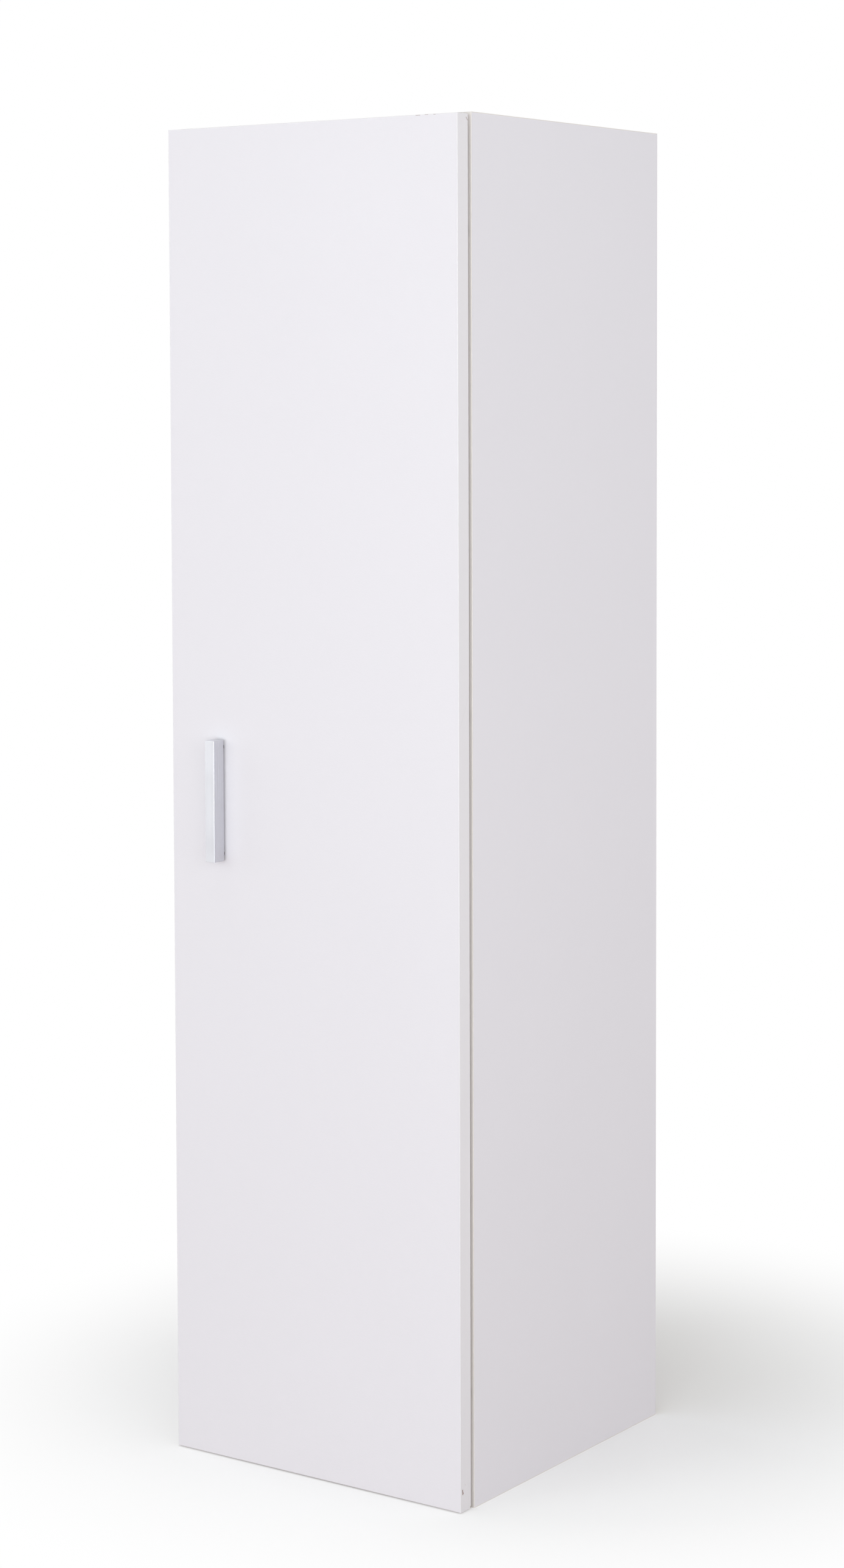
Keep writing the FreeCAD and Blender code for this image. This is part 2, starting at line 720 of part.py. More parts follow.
def closing_spring(z):
    """A leaf that lies on the cup's floor under the arm's eye and turns up along the far wall."""
    tip = f"({PIVOT_X} + spring_tip_reach)"
    far = f"({CUP_X} - {CUP_BORE} + spring_wall_gap)"
    outline = [
        (tip, CUP_FLOOR),
        (tip, f"{CUP_FLOOR} + spring_thickness"),
        (f"{far} + spring_thickness", f"{CUP_FLOOR} + spring_thickness"),
        (f"{far} + spring_thickness", f"{CUP_FLOOR} + spring_rise"),
        (far, f"{CUP_FLOOR} + spring_rise"),
        (far, CUP_FLOOR),
    ]
    return profile(outline, "spring_width", "0", "0", f"{z} - spring_width / 2")


def hinge_arm(z):
    """The arm: a ribbed bar on the plate whose hooked neck reaches the pivot inside the cup."""
    half = "neck_thickness / 2"
    outer = f"(-{NECK_REACH} - {half})"
    inner = f"(-{NECK_REACH} + {half})"
    neck_end = f"({DOOR_BACK} - {PIVOT_Y} + door_gap + arm_front)"
    outline = [
        ("0", f"-{half}"),
        (f"{outer} + neck_bend", f"-{half}"),
        (outer, f"neck_bend - {half}"),
        (outer, neck_end),
        (inner, neck_end),
        (inner, f"{half} + neck_inner_bend"),
        (f"{inner} + neck_inner_bend", half),
        ("0", half),
    ]
    neck_z = f"{z} - neck_width / 2"
    neck = profile(outline, "neck_width", PIVOT_X, PIVOT_Y, neck_z)
    eye = rod("eye_radius", "neck_width", PIVOT_X, PIVOT_Y, neck_z, "+Z")
    bar_x = f"({INNER} - plate_thickness - neck_thickness)"
    rib_x = f"{bar_x} - arm_rib_height"
    front = "-depth + arm_front"
    length = "arm_rear - arm_front"
    bar = box("neck_thickness", length, "arm_width", bar_x, front, f"{z} - arm_width / 2")
    ribs = [
        box("arm_rib_height", length, "arm_rib_thickness", rib_x, front, rib_z)
        for rib_z in (f"{z} - arm_width / 2", f"{z} + arm_width / 2 - arm_rib_thickness")
    ]
    tools = [rod("pivot_radius + pivot_clearance", "neck_width", PIVOT_X, PIVOT_Y, neck_z, "+Z")]
    for setback in ("arm_screw_setback", "adjuster_setback"):
        radius = "arm_screw_radius + fit_clearance"
        tools.append(rod(radius, "neck_thickness", bar_x, f"-depth + {setback}", z, "+X"))
    return cut(fuse([neck, eye, bar] + ribs), tools)


def hinge_plate(z):
    """The mounting plate on the side panel: a bar under the arm, and a foot with two screw holes."""
    x = f"({INNER} - plate_thickness)"
    bar_z = f"{z} - arm_width / 2"
    foot_y = "-depth + plate_screw_setback - plate_foot_width / 2"
    foot_z = f"{z} - plate_foot_half_length"
    foot_length = "2 * plate_foot_half_length"
    body = fuse([
        box("plate_thickness", "plate_length", "arm_width", x, "-depth + plate_front", bar_z),
        box("plate_thickness", "plate_foot_width", foot_length, x, foot_y, foot_z),
    ])
    tap_radius = "arm_screw_radius + fit_clearance / 2"
    tools = [rod(tap_radius, "plate_thickness", x, "-depth + arm_screw_setback", z, "+X")]
    for end in (-1, 1):
        screw_z = f"{z} + {end} * plate_screw_offset"
        radius = "plate_screw_radius + fit_clearance"
        tools.append(rod(radius, "plate_thickness", x, "-depth + plate_screw_setback", screw_z, "+X"))
    return cut(body, tools)


def slotted_screw(head_x, y, z, head_radius, head_height, shank_radius, shank_length):
    """A screw driven along +X whose head stands on a face, with a driver slot across the head."""
    shank = rod(shank_radius, shank_length, head_x, y, z, "+X")
    head = rod(head_radius, head_height, head_x, y, z, "-X")
    slot = box("driver_slot_depth", f"2 * {head_radius}", "driver_slot_width",
               f"{head_x} - {head_height}", f"{y} - {head_radius}", f"{z} - driver_slot_width / 2")
    return cut(fuse([shank, head]), [slot])


def adjusting_screw(z):
    """A headless slotted screw through the arm that bears on the plate."""
    x = f"({INNER} - plate_thickness - adjuster_height)"
    y = "-depth + adjuster_setback"
    slot = box("driver_slot_depth", "2 * arm_screw_radius", "driver_slot_width",
               x, f"{y} - arm_screw_radius", f"{z} - driver_slot_width / 2")
    return cut(rod("arm_screw_radius", "adjuster_height", x, y, z, "+X"), [slot])


def wing_screw(z):
    """A screw through a wing of the cup into the door, with a driver slot."""
    seat = f"({DOOR_BACK} + flange_thickness)"
    shank = rod("wing_screw_radius", "wing_screw_length + flange_thickness", WING_X, seat, z, "-Y")
    head = rod("wing_screw_head_radius", "wing_screw_head_height", WING_X, seat, z, "+Y")
    slot = box("2 * wing_screw_head_radius", "driver_slot_depth", "driver_slot_width",
               f"{WING_X} - wing_screw_head_radius", f"{seat} + wing_screw_head_height - driver_slot_depth",
               f"{z} - driver_slot_width / 2")
    return cut(fuse([shank, head]), [slot])


def hinges():
    """The three hinges: cups, arms and plates as single nodes, their small pieces as groups."""
    pins = []
    springs = []
    wing_screws = []
    plate_screws = []
    arm_screws = []
    adjusters = []
    plate_face = f"({INNER} - plate_thickness)"
    arm_face = f"({plate_face} - neck_thickness)"
    for name, z in HINGES.items():
        node(f"{name}_hinge_cup", hinge_cup(z))
        node(f"{name}_hinge_arm", hinge_arm(z))
        node(f"{name}_hinge_plate", hinge_plate(z))
        pin_low = f"{z} - {PIN_HALF_LENGTH}"
        pins.append(rod("pivot_radius", f"2 * {PIN_HALF_LENGTH}", PIVOT_X, PIVOT_Y, pin_low, "+Z"))
        springs.append(closing_spring(z))
        for end in (-1, 1):
            wing_screws.append(wing_screw(f"({z} + {end} * wing_screw_offset)"))
            plate_screws.append(slotted_screw(
                plate_face, "(-depth + plate_screw_setback)", f"({z} + {end} * plate_screw_offset)",
                "plate_screw_head_radius", "plate_screw_head_height",
                "plate_screw_radius", "plate_screw_length + plate_thickness",
            ))
        arm_screws.append(slotted_screw(
            arm_face, "(-depth + arm_screw_setback)", z,
            "arm_screw_head_radius", "arm_screw_head_height",
            "arm_screw_radius", "neck_thickness + plate_thickness - fit_clearance",
        ))
        adjusters.append(adjusting_screw(z))
    node("hinge_pins", group(pins))
    node("closing_springs", group(springs))
    node("hinge_cup_screws", group(wing_screws))
    node("hinge_plate_screws", group(plate_screws))
    node("hinge_arm_screws", group(arm_screws))
    node("hinge_adjusting_screws", group(adjusters))


def check():
    """Stops if any object failed, or if a sub-part's shape is empty or not valid."""
    for item in doc.Objects:
        if "Invalid" in item.State or "Error" in item.State:
            raise RuntimeError(f"{item.Name} ({item.Label}) failed: {item.State}")
    for label, item in nodes.items():
        if item.Shape.isNull() or not item.Shape.isValid() or not item.Shape.Solids:
            raise RuntimeError(f"{label} has no valid solid")
        if item.Shape.Volume < SMALLEST_VOLUME:
            raise RuntimeError(f"{label} is empty")


side_panel(-1, "left")
side_panel(1, "right")
horizontal_boards()
adjustable_shelves()
back_and_rails()
carcass_fasteners()
door()
handle()
hinges()
doc.recompute()
check()
os.makedirs("parts", exist_ok=True)
for label, item in nodes.items():
    item.Shape.exportStep(f"parts/{label}.step")
print(f"{len(nodes)} sub-parts written")
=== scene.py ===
"""Looks of a tall white wall cabinet with one door, a bar handle and concealed hinges.

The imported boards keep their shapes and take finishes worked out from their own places. The handle, the
door's edge bands and the hardware are rebuilt here as finer surfaces, which stand for the plain packed ones.
Lengths are in metres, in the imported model's frame: +Z is up, the front faces -Y and the wall is y = 0.
"""

from __future__ import annotations

import json
import logging
from abc import ABC, abstractmethod
from dataclasses import dataclass
from enum import Enum

import bpy
import numpy as np
from mathutils import Matrix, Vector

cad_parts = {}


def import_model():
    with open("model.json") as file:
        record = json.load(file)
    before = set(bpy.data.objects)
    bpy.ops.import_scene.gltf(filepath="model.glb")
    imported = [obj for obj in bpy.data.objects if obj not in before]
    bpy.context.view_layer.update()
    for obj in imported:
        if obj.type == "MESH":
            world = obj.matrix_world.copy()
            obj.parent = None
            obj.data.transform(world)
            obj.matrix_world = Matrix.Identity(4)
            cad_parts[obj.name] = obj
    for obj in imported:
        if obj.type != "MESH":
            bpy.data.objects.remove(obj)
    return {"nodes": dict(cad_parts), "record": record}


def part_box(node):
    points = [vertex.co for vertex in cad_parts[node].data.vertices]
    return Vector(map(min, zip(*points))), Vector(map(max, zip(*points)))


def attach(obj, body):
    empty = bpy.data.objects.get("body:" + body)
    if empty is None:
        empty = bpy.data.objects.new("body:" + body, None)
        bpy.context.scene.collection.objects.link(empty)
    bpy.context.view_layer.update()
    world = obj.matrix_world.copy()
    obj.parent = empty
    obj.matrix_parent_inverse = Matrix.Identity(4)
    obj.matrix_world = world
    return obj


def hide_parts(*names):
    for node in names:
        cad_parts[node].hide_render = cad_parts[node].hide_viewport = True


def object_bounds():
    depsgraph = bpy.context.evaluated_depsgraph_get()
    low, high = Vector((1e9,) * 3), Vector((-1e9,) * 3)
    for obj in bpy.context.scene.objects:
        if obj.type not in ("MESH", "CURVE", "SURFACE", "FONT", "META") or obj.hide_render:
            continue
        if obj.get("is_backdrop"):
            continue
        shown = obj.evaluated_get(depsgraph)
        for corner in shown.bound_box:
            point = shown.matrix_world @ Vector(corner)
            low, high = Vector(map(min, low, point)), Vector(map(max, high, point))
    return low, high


LOG = logging.getLogger("cabinet")

Array = np.ndarray
Colour = tuple[float, float, float]
Triple = tuple[float, float, float]
Pair = tuple[float, float]
Socket = bpy.types.NodeSocket
Feed = float | tuple | Socket

QUARTER_TURN = np.pi / 2
FULL_TURN = 2.0 * np.pi
SHARP_EDGE = np.radians(38.0)
QUAD = 4
WEAR = "wear"
WHITE: Colour = (1.0, 1.0, 1.0)
COOL_WHITE: Colour = (0.935, 0.985, 1.0)

# Directions of a surface's own three axes; the last two turn its third axis to the wall and to the left
EX, EY, EZ = np.eye(3)
UNTURNED = (EX, EY, EZ)
TO_BACK = (EX, -EZ, EY)
TO_LEFT = (EY, EZ, -EX)

# Eased edges, in radii of the edge: where the flat's first ring lies, the least flat that is left half way
# between two edges, and how far a strip's end is drawn in
FLAT_START = 1.5
LEAST_FLAT = 0.1
END_DRAW = 0.7


class Body(Enum):
    """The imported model's moving bodies."""

    CARCASS = "carcass"
    DOOR = "door"


class Slot(Enum):
    """The record's material slots."""

    BOARD = "white_melamine"
    BAND = "white_edge_band"
    HARDBOARD = "white_hardboard"
    BEECH = "beech"
    ZINC = "zinc_casting"
    BRIGHT_STEEL = "bright_steel"
    NICKEL = "nickel_steel"
    SPRING = "spring_steel"
    ALUMINIUM = "satin_aluminium"
    SPACER = "dark_spacer"
    BUMPER = "clear_bumper"


class Axis(Enum):
    """The frame's axes, as columns of a point array."""

    X = 0
    Y = 1
    Z = 2


# Surfaces as arrays


@dataclass
class Shell:
    """A closed surface.

    Attributes:
        points: places, one row each.
        faces: arrays of faces with the same number of corners, one row of point numbers each.
        wear: how worn the surface is at each point, from 0 to 1, or None on a piece that shows no wear.
    """

    points: Array
    faces: list[Array]
    wear: Array | None = None

    def volume(self) -> float:
        """Adds a sixth of the triple product of the corners of each triangle, in a fan over each face.

        Returns:
            The volume, below zero where the faces point inwards.
        """
        total = 0.0
        for rows in self.faces:
            corners = self.points[rows]
            crossed = np.cross(corners[:, 1:-1], corners[:, 2:])
            total += float(np.sum(corners[:, :1] * crossed)) / 6.0
        return total

    def outward(self) -> Shell:
        """Turns the faces to point out.

        Returns:
            The same surface.
        """
        if self.volume() < 0.0:
            self.faces = [rows[:, ::-1] for rows in self.faces]
        return self

    def placed(self, origin: Array | Triple, axes: tuple[Array, Array, Array]) -> Shell:
        """A copy of the surface, carried to a place.

        Args:
            origin: where its own origin goes.
            axes: the directions of its own three axes.

        Returns:
            The new surface, facing outwards.
        """
        moved = np.asarray(origin) + self.points @ np.array(axes)
        return Shell(moved, list(self.faces), self.wear).outward()


def lattice(rows: int, columns: int, looped: bool = False) -> Array:
    """Quads of a grid of points numbered row by row, whose last column joins its first.

    Args:
        rows: rings of the grid.
        columns: points in a ring.
        looped: whether the last ring joins the first.

    Returns:
        One row of four point numbers for each quad.
    """
    steps = rows if looped else rows - 1
    row, column = np.meshgrid(np.arange(steps), np.arange(columns), indexing="ij")
    this, after = row * columns, (row + 1) % rows * columns
    beside = (column + 1) % columns
    corners = (this + column, this + beside, after + beside, after + column)
    return np.stack(corners, axis=-1).reshape(-1, QUAD)


def tube(rings: Array, looped: bool = False) -> Shell:
    """A closed surface through rings of points, with a flat face on each end unless it is looped.

    Args:
        rings: an array of rows, points and coordinates.
        looped: whether the last ring joins the first.

    Returns:
        The surface, facing outwards.
    """
    rows, columns = rings.shape[:2]
    faces = [lattice(rows, columns, looped)]
    if not looped:
        first = np.arange(columns)
        faces.append(np.stack([first[::-1], (rows - 1) * columns + first]))
    return Shell(rings.reshape(-1, 3), faces).outward()


def even_angles(segments: int) -> Array:
    """Angles of a full turn in even steps, without the last."""
    return np.linspace(0.0, FULL_TURN, segments, endpoint=False)


def turned(radius: Array, level: Array, segments: int = 48, looped: bool = False) -> Shell:
    """A surface of revolution about its own third axis.

    Each point is (r cos a, r sin a, level), with the angle a in even steps. The radius and the level may
    differ from angle to angle, as in a thread or a driver recess.

    Args:
        radius: one value for each ring, or a row of values for its angles.
        level: heights, in the same form.
        segments: angles in a ring.
        looped: whether the last ring joins the first, as in a ring with a bore.

    Returns:
        The surface.
    """
    angle = even_angles(segments)
    radius, level = (values[:, None] if values.ndim == 1 else values for values in (radius, level))
    shape = np.broadcast_shapes(radius.shape, level.shape, (1, segments))
    parts = (radius * np.cos(angle), radius * np.sin(angle), level)
    return tube(np.stack([np.broadcast_to(part, shape) for part in parts], axis=-1), looped)


def bored_ring(bore: float, outer: float, span: Pair, ease: float, segments: int = 48) -> Shell:
    """A ring about its own third axis, with cut outer arrises: a six-sided section turned about the bore.

    Args:
        bore: the bore's radius.
        outer: the outer radius.
        span: the levels of its two ends.
        ease: the size of the cut arrises.
        segments: angles of the ring.

    Returns:
        The surface.
    """
    low, high = span
    radius = np.array([bore, outer - ease, outer, outer, outer - ease, bore])
    level = np.array([low, low, low + ease, high - ease, high, high])
    return turned(radius, level, segments, looped=True)


def quarter_round(radius: float, points: int) -> tuple[Array, Array]:
    """The insets radius (1 - sin t) and radius (1 - cos t) of a rounded edge, for t up to a quarter turn."""
    turn = np.linspace(0.0, QUARTER_TURN, points)
    return radius * (1.0 - np.sin(turn)), radius * (1.0 - np.cos(turn))


def rounded_outline(width: float, height: float, radius: float, arc: int = 6) -> Array:
    """A rectangle about the origin whose corners are quarter circles, counterclockwise.

    Args:
        width: size along the first axis.
        height: size along the second axis.
        radius: the corners' radius.
        arc: points in each corner.

    Returns:
        One row for each point.
    """
    signs = np.array([(1, 1), (-1, 1), (-1, -1), (1, -1)])
    centres = signs * (width / 2 - radius, height / 2 - radius)
    angle = np.arange(len(signs))[:, None] * QUARTER_TURN + np.linspace(0.0, QUARTER_TURN, arc)
    around = np.stack([np.cos(angle), np.sin(angle)], axis=-1)
    return (centres[:, None] + radius * around).reshape(-1, 2)


def outward_normals(outline: Array) -> Array:
    """Normals of an outline: its tangents between neighbours, turned a quarter clockwise.

    Args:
        outline: points in counterclockwise order.

    Returns:
        A unit vector for each point.
    """
    tangent = np.roll(outline, -1, axis=0) - np.roll(outline, 1, axis=0)
    normal = np.stack([tangent[:, 1], -tangent[:, 0]], axis=-1)
    return normal / np.linalg.norm(normal, axis=1, keepdims=True)


def densified(outline: Array, step: float) -> Array:
    """An outline with added points along its straight runs, evenly spaced by length from its first point.

    Args:
        outline: the outline's own points, which stay.
        step: distance between the added points, none of which is within a quarter of it from an own point.

    Returns:
        One row for each point.
    """
    closed = np.concatenate([outline, outline[:1]])
    length = np.concatenate([[0.0], np.cumsum(np.linalg.norm(np.diff(closed, axis=0), axis=1))])
    even = np.arange(0.0, length[-1], step)
    apart = np.min(np.abs(even[:, None] - length), axis=1) > step / 4
    stations = np.sort(np.concatenate([length[:-1], even[apart]]))
    return np.stack([np.interp(stations, length, column) for column in closed.T], axis=-1)


def slab(outline: Array, height: float, ease: float, steps: int = 3) -> Shell:
    """A plate with quarter-round rims, from level 0 to its height.

    The outline is drawn in by ease (1 - sin t) at the level ease (1 - cos t) from each face, for t from 0 to
    a quarter turn.

    Args:
        outline: the plate's counterclockwise outline.
        height: its thickness.
        ease: the rims' radius.
        steps: rings in each rim.

    Returns:
        The surface.
    """
    inset, level = quarter_round(ease, steps + 1)
    shoulder = min(FLAT_START * ease, height / 2 - LEAST_FLAT * ease)
    insets = np.concatenate([inset, [0.0, 0.0], inset[::-1]])
    levels = np.concatenate([level, [shoulder, height - shoulder], height - level[::-1]])
    drawn = outline - insets[:, None, None] * outward_normals(outline)
    lifted = np.broadcast_to(levels[:, None, None], (*drawn.shape[:2], 1))
    return tube(np.concatenate([drawn, lifted], axis=-1))


def bent_path(corners: list[Array | Pair], radius: float, arc: int = 8) -> Array:
    """A flat path of straight runs whose inner corners are arcs.

    A corner's arc starts radius * tan(turn / 2) before it. Its points are that start plus radius times the
    sum of sin t along the run into the corner and 1 - cos t across it, inwards, for t from 0 to the turn.

    Args:
        corners: the path's ends and corners, in two coordinates.
        radius: the arcs' radius.
        arc: points in each arc.

    Returns:
        One row for each point.
    """
    ends = np.array(corners, float)
    runs = np.diff(ends, axis=0)
    runs /= np.linalg.norm(runs, axis=1, keepdims=True)
    into, out = runs[:-1, None], runs[1:, None]
    left = np.stack([-into[..., 1], into[..., 0]], axis=-1)
    inwards = left * np.sign(np.sum(left * out, axis=-1, keepdims=True))
    turn = np.arccos(np.clip(np.sum(into * out, axis=-1, keepdims=True), -1.0, 1.0))
    swing = turn * np.linspace(0.0, 1.0, arc)[:, None]
    start = ends[1:-1, None] - into * radius * np.tan(turn / 2)
    arcs = start + radius * (np.sin(swing) * into + (1.0 - np.cos(swing)) * inwards)
    return np.concatenate([ends[:1], arcs.reshape(-1, 2), ends[-1:]])


def strip(path: Array, thickness: float, width: float, ease: float) -> Shell:
    """A flat strip bent along a path: a rounded rectangle carried along it.

    The rectangle lies across the path's tangent, thickness along the path's own normal and width along the
    third axis. The last ring at each end is drawn in, so that the strip's ends are eased as its edges are.

    Args:
        path: the strip's middle line, in the first two coordinates.
        thickness: its thickness.
        width: its width.
        ease: radius of its edges.

    Returns:
        The surface, its width about level 0.
    """
    tangent = np.gradient(path, axis=0)
    tangent /= np.linalg.norm(tangent, axis=1, keepdims=True)
    lead = ease * np.array([[0.0], [1.0], [FLAT_START]])
    stations = np.concatenate([path[0] + lead * tangent[0], path[1:-1], path[-1] - lead[::-1] * tangent[-1]])
    tangents = np.concatenate([tangent[[0, 0]], tangent, tangent[[-1, -1]]])
    normal = np.stack([-tangents[:, 1], tangents[:, 0]], axis=-1)
    full = rounded_outline(thickness, width, ease)
    profile = np.repeat(full[None], len(stations), axis=0)
    profile[[0, -1]] = full - END_DRAW * ease * outward_normals(full)
    flat = stations[:, None] + profile[..., :1] * normal[:, None]
    return tube(np.concatenate([flat, profile[..., 1:]], axis=-1))


def smooth_step(value: Array, low: float, high: float) -> Array:
    """Zero below low, one above high, and 3t^2 - 2t^3 between them."""
    share = np.clip((value - low) / (high - low), 0.0, 1.0)
    return share * share * (3.0 - 2.0 * share)


# Materials


@dataclass(frozen=True)
class Noise:
    """A cloudy noise: its features in a metre, its octaves and the weight of the finer ones."""

    scale: float
    detail: float = 2.0
    roughness: float = 0.5


class Graph:
    """The nodes of a material or of the surround, added and joined by short calls."""

    noise_range: Pair = (0.3, 0.7)

    def __init__(self, owner: bpy.types.Material | bpy.types.World, shader: str = "Principled BSDF") -> None:
        """Starts from the nodes that a new material or surround has.

        Args:
            owner: the material or surround.
            shader: the name of the shader among those nodes.
        """
        owner.use_nodes = True
        self.tree = owner.node_tree
        self.shader = self.tree.nodes[shader]
        self._place: Socket | None = None

    def feed(self, socket: Socket, value: Feed) -> None:
        """Joins a socket to another, or sets its value.

        Args:
            socket: the input.
            value: another node's output, a number, a vector, or a colour, which gets its alpha here.
        """
        if isinstance(value, Socket):
            self.tree.links.new(value, socket)
        elif socket.type == "RGBA":
            socket.default_value = (*value, 1.0)
        else:
            socket.default_value = value

    def add(self, kind: str, feeds: dict[str | int, Feed], **settings: object) -> bpy.types.Node:
        """A new node.

        Args:
            kind: Blender's name of the node.
            feeds: values or sockets for its inputs, by name or number.
            settings: its other properties.

        Returns:
            The node.
        """
        node = self.tree.nodes.new(kind)
        for name, value in settings.items():
            setattr(node, name, value)
        for name, value in feeds.items():
            self.feed(node.inputs[name], value)
        return node

    def place(self) -> Socket:
        """Object coordinates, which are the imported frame's.

        Returns:
            The output of the one node that gives them.
        """
        if self._place is None:
            self._place = self.add("ShaderNodeTexCoord", {}).outputs["Object"]
        return self._place

    def along(self, axis: Axis) -> Socket:
        """The place along one axis."""
        return self.add("ShaderNodeSeparateXYZ", {0: self.place()}).outputs[axis.value]

    def stretched(self, scale: Triple) -> Socket:
        """Object coordinates multiplied by one factor for each axis."""
        return self.add("ShaderNodeMapping", {"Vector": self.place(), "Scale": scale}).outputs[0]

    def noise(self, kind: Noise, where: Socket | None = None) -> Socket:
        """Cloudy noise, about 0.5.

        Args:
            kind: its scale, octaves and weight.
            where: coordinates, if not the plain place.

        Returns:
            Its value.
        """
        feeds = {"Vector": where or self.place(), "Scale": kind.scale}
        feeds.update({"Detail": kind.detail, "Roughness": kind.roughness})
        return self.add("ShaderNodeTexNoise", feeds).outputs["Fac"]

    def cells(self, scale: float) -> bpy.types.Node:
        """Cells scattered so many to the metre, with their distance and colour outputs."""
        return self.add("ShaderNodeTexVoronoi", {"Vector": self.place(), "Scale": scale})

    def wave(self, scale: float, direction: Axis) -> Socket:
        """Straight bands across one axis, so many to the metre."""
        feeds = {"Vector": self.place(), "Scale": scale}
        return self.add("ShaderNodeTexWave", feeds, bands_direction=direction.name).outputs["Fac"]

    def math(self, operation: str, *values: Feed) -> Socket:
        """One step of arithmetic on sockets and numbers."""
        return self.add("ShaderNodeMath", dict(enumerate(values)), operation=operation).outputs[0]

    def span(self, value: Socket, start: float, end: float, low: float = 0.0, high: float = 1.0) -> Socket:
        """A value's range from start to end, mapped smoothly to low and high."""
        feeds = {"Value": value, "From Min": start, "From Max": end, "To Min": low, "To Max": high}
        return self.add("ShaderNodeMapRange", feeds, interpolation_type="SMOOTHSTEP").outputs[0]

    def spread(self, noise: Socket, low: float = 0.0, high: float = 1.0) -> Socket:
        """A noise's usual range, mapped smoothly to low and high."""
        return self.span(noise, *self.noise_range, low, high)

    def mixed(self, share: Socket, first: Feed, second: Feed) -> Socket:
        """A colour between two others.

        Args:
            share: how much of the second there is.
            first: the first colour.
            second: the second colour.

        Returns:
            The mixed colour.
        """
        node = self.add("ShaderNodeMix", {}, data_type="RGBA")
        colours = [socket for socket in node.inputs if socket.type == "RGBA"]
        for socket, value in zip((node.inputs[0], *colours), (share, first, second)):
            self.feed(socket, value)
        return next(socket for socket in node.outputs if socket.type == "RGBA")

    def toned(self, share: Socket, tone: Colour, low: float, high: float) -> Socket:
        """A colour between two shades of one tone."""
        return self.mixed(share, scaled(tone, low), scaled(tone, high))

    def bumped(self, height: Socket, depth: float) -> Socket:
        """A normal bent by a height of the given depth in metres."""
        return self.add("ShaderNodeBump", {"Height": height, "Distance": depth}).outputs[0]

    def shade(self, **feeds: Feed) -> None:
        """Sets the shader's sockets, named with underscores."""
        for name, value in feeds.items():
            self.feed(self.shader.inputs[name.replace("_", " ")], value)

    def seen_directly(self) -> Socket:
        """Tells the rays that show the surface itself, straight or in gloss and glass.

        Returns:
            One for those rays and zero for others.
        """
        rays = self.add("ShaderNodeLightPath", {}).outputs
        mirrored = self.math("MAXIMUM", rays["Is Glossy Ray"], rays["Is Transmission Ray"])
        return self.math("MAXIMUM", rays["Is Camera Ray"], mirrored)


def scaled(colour: Colour, factor: float) -> Colour:
    """A colour made lighter or darker."""
    return tuple(channel * factor for channel in colour)


@dataclass(frozen=True)
class Finish(ABC):
    """A surface finish, whose material is made at its first use."""

    name: str

    def material(self) -> bpy.types.Material:
        """Makes the finish's material, or finds it.

        Returns:
            The material.
        """
        material = bpy.data.materials.get(self.name)
        if material is None:
            material = bpy.data.materials.new(self.name)
            self.dress(Graph(material))
        return material

    @abstractmethod
    def dress(self, graph: Graph) -> None:
        """Adds the finish's nodes to a new material."""


@dataclass(frozen=True)
class BoardFinish(Finish):
    """Melamine-faced chipboard.

    The white skin lies on the board's two wide faces. Every surface deeper than the skin, such as a sawn
    edge, a groove or a bore, shows the pressed flakes of the core.
    """

    across: Axis
    low: float
    high: float
    tone: Colour = (0.845, 0.837, 0.880)
    skin: float = 0.00025
    relief: float = 0.00006
    gloss: Pair = (0.34, 0.42)
    specular: float = 0.42
    clouds: Noise = Noise(3.0, 4.0, 0.6)
    cloud_shades: Pair = (0.985, 1.012)
    polish: Noise = Noise(9.0, 3.0)
    pebble: Noise = Noise(850.0, 1.5)
    specks: float = 16.0
    speck_size: Pair = (0.006, 0.012)
    speckless: float = 0.8
    speck_shade: float = 0.62
    flake: Colour = (0.60, 0.45, 0.29)
    fleck: Colour = (0.33, 0.21, 0.12)
    flecks: Noise = Noise(1400.0, 3.0)
    chips: float = 620.0
    chip_edge: Pair = (0.2, 0.9)
    chip_shade: float = 1.2
    core_relief: float = 3.0
    core_dullness: float = 0.5

    def dress(self, graph: Graph) -> None:
        """White skin over a core of flakes, by the depth below the nearer wide face.

        Args:
            graph: the nodes of a new material.
        """
        place = graph.along(self.across)
        offsets = (graph.math("SUBTRACT", place, face) for face in (self.low, self.high))
        depths = (graph.math("ABSOLUTE", offset) for offset in offsets)
        core = graph.math("GREATER_THAN", graph.math("MINIMUM", *depths), self.skin)
        chips = graph.cells(self.chips).outputs["Distance"]
        flakes = graph.mixed(graph.noise(self.flecks), self.flake, self.fleck)
        flakes = graph.mixed(graph.span(chips, *self.chip_edge), flakes, scaled(self.flake, self.chip_shade))
        grain = graph.math("MULTIPLY", chips, graph.math("MULTIPLY", core, self.core_relief))
        height = graph.math("ADD", graph.noise(self.pebble), grain)
        satin = graph.spread(graph.noise(self.polish), *self.gloss)
        graph.shade(
            Base_Color=graph.mixed(core, self.skin_colour(graph), flakes),
            Roughness=graph.math("ADD", satin, graph.math("MULTIPLY", core, self.core_dullness)),
            Normal=graph.bumped(height, self.relief),
            Specular_IOR_Level=self.specular,
        )

    def skin_colour(self, graph: Graph) -> Socket:
        """White with a faint cloudiness and a few fine specks.

        Args:
            graph: the material's nodes.

        Returns:
            The colour.
        """
        clouds = graph.toned(graph.noise(self.clouds), self.tone, *self.cloud_shades)
        spots = graph.cells(self.specks)
        lot = graph.add("ShaderNodeSeparateColor", {0: spots.outputs["Color"]}).outputs[0]
        chosen = graph.math("GREATER_THAN", lot, self.speckless)
        near = graph.span(spots.outputs["Distance"], *self.speck_size, 1.0, 0.0)
        return graph.mixed(graph.math("MULTIPLY", chosen, near), clouds, scaled(self.tone, self.speck_shade))


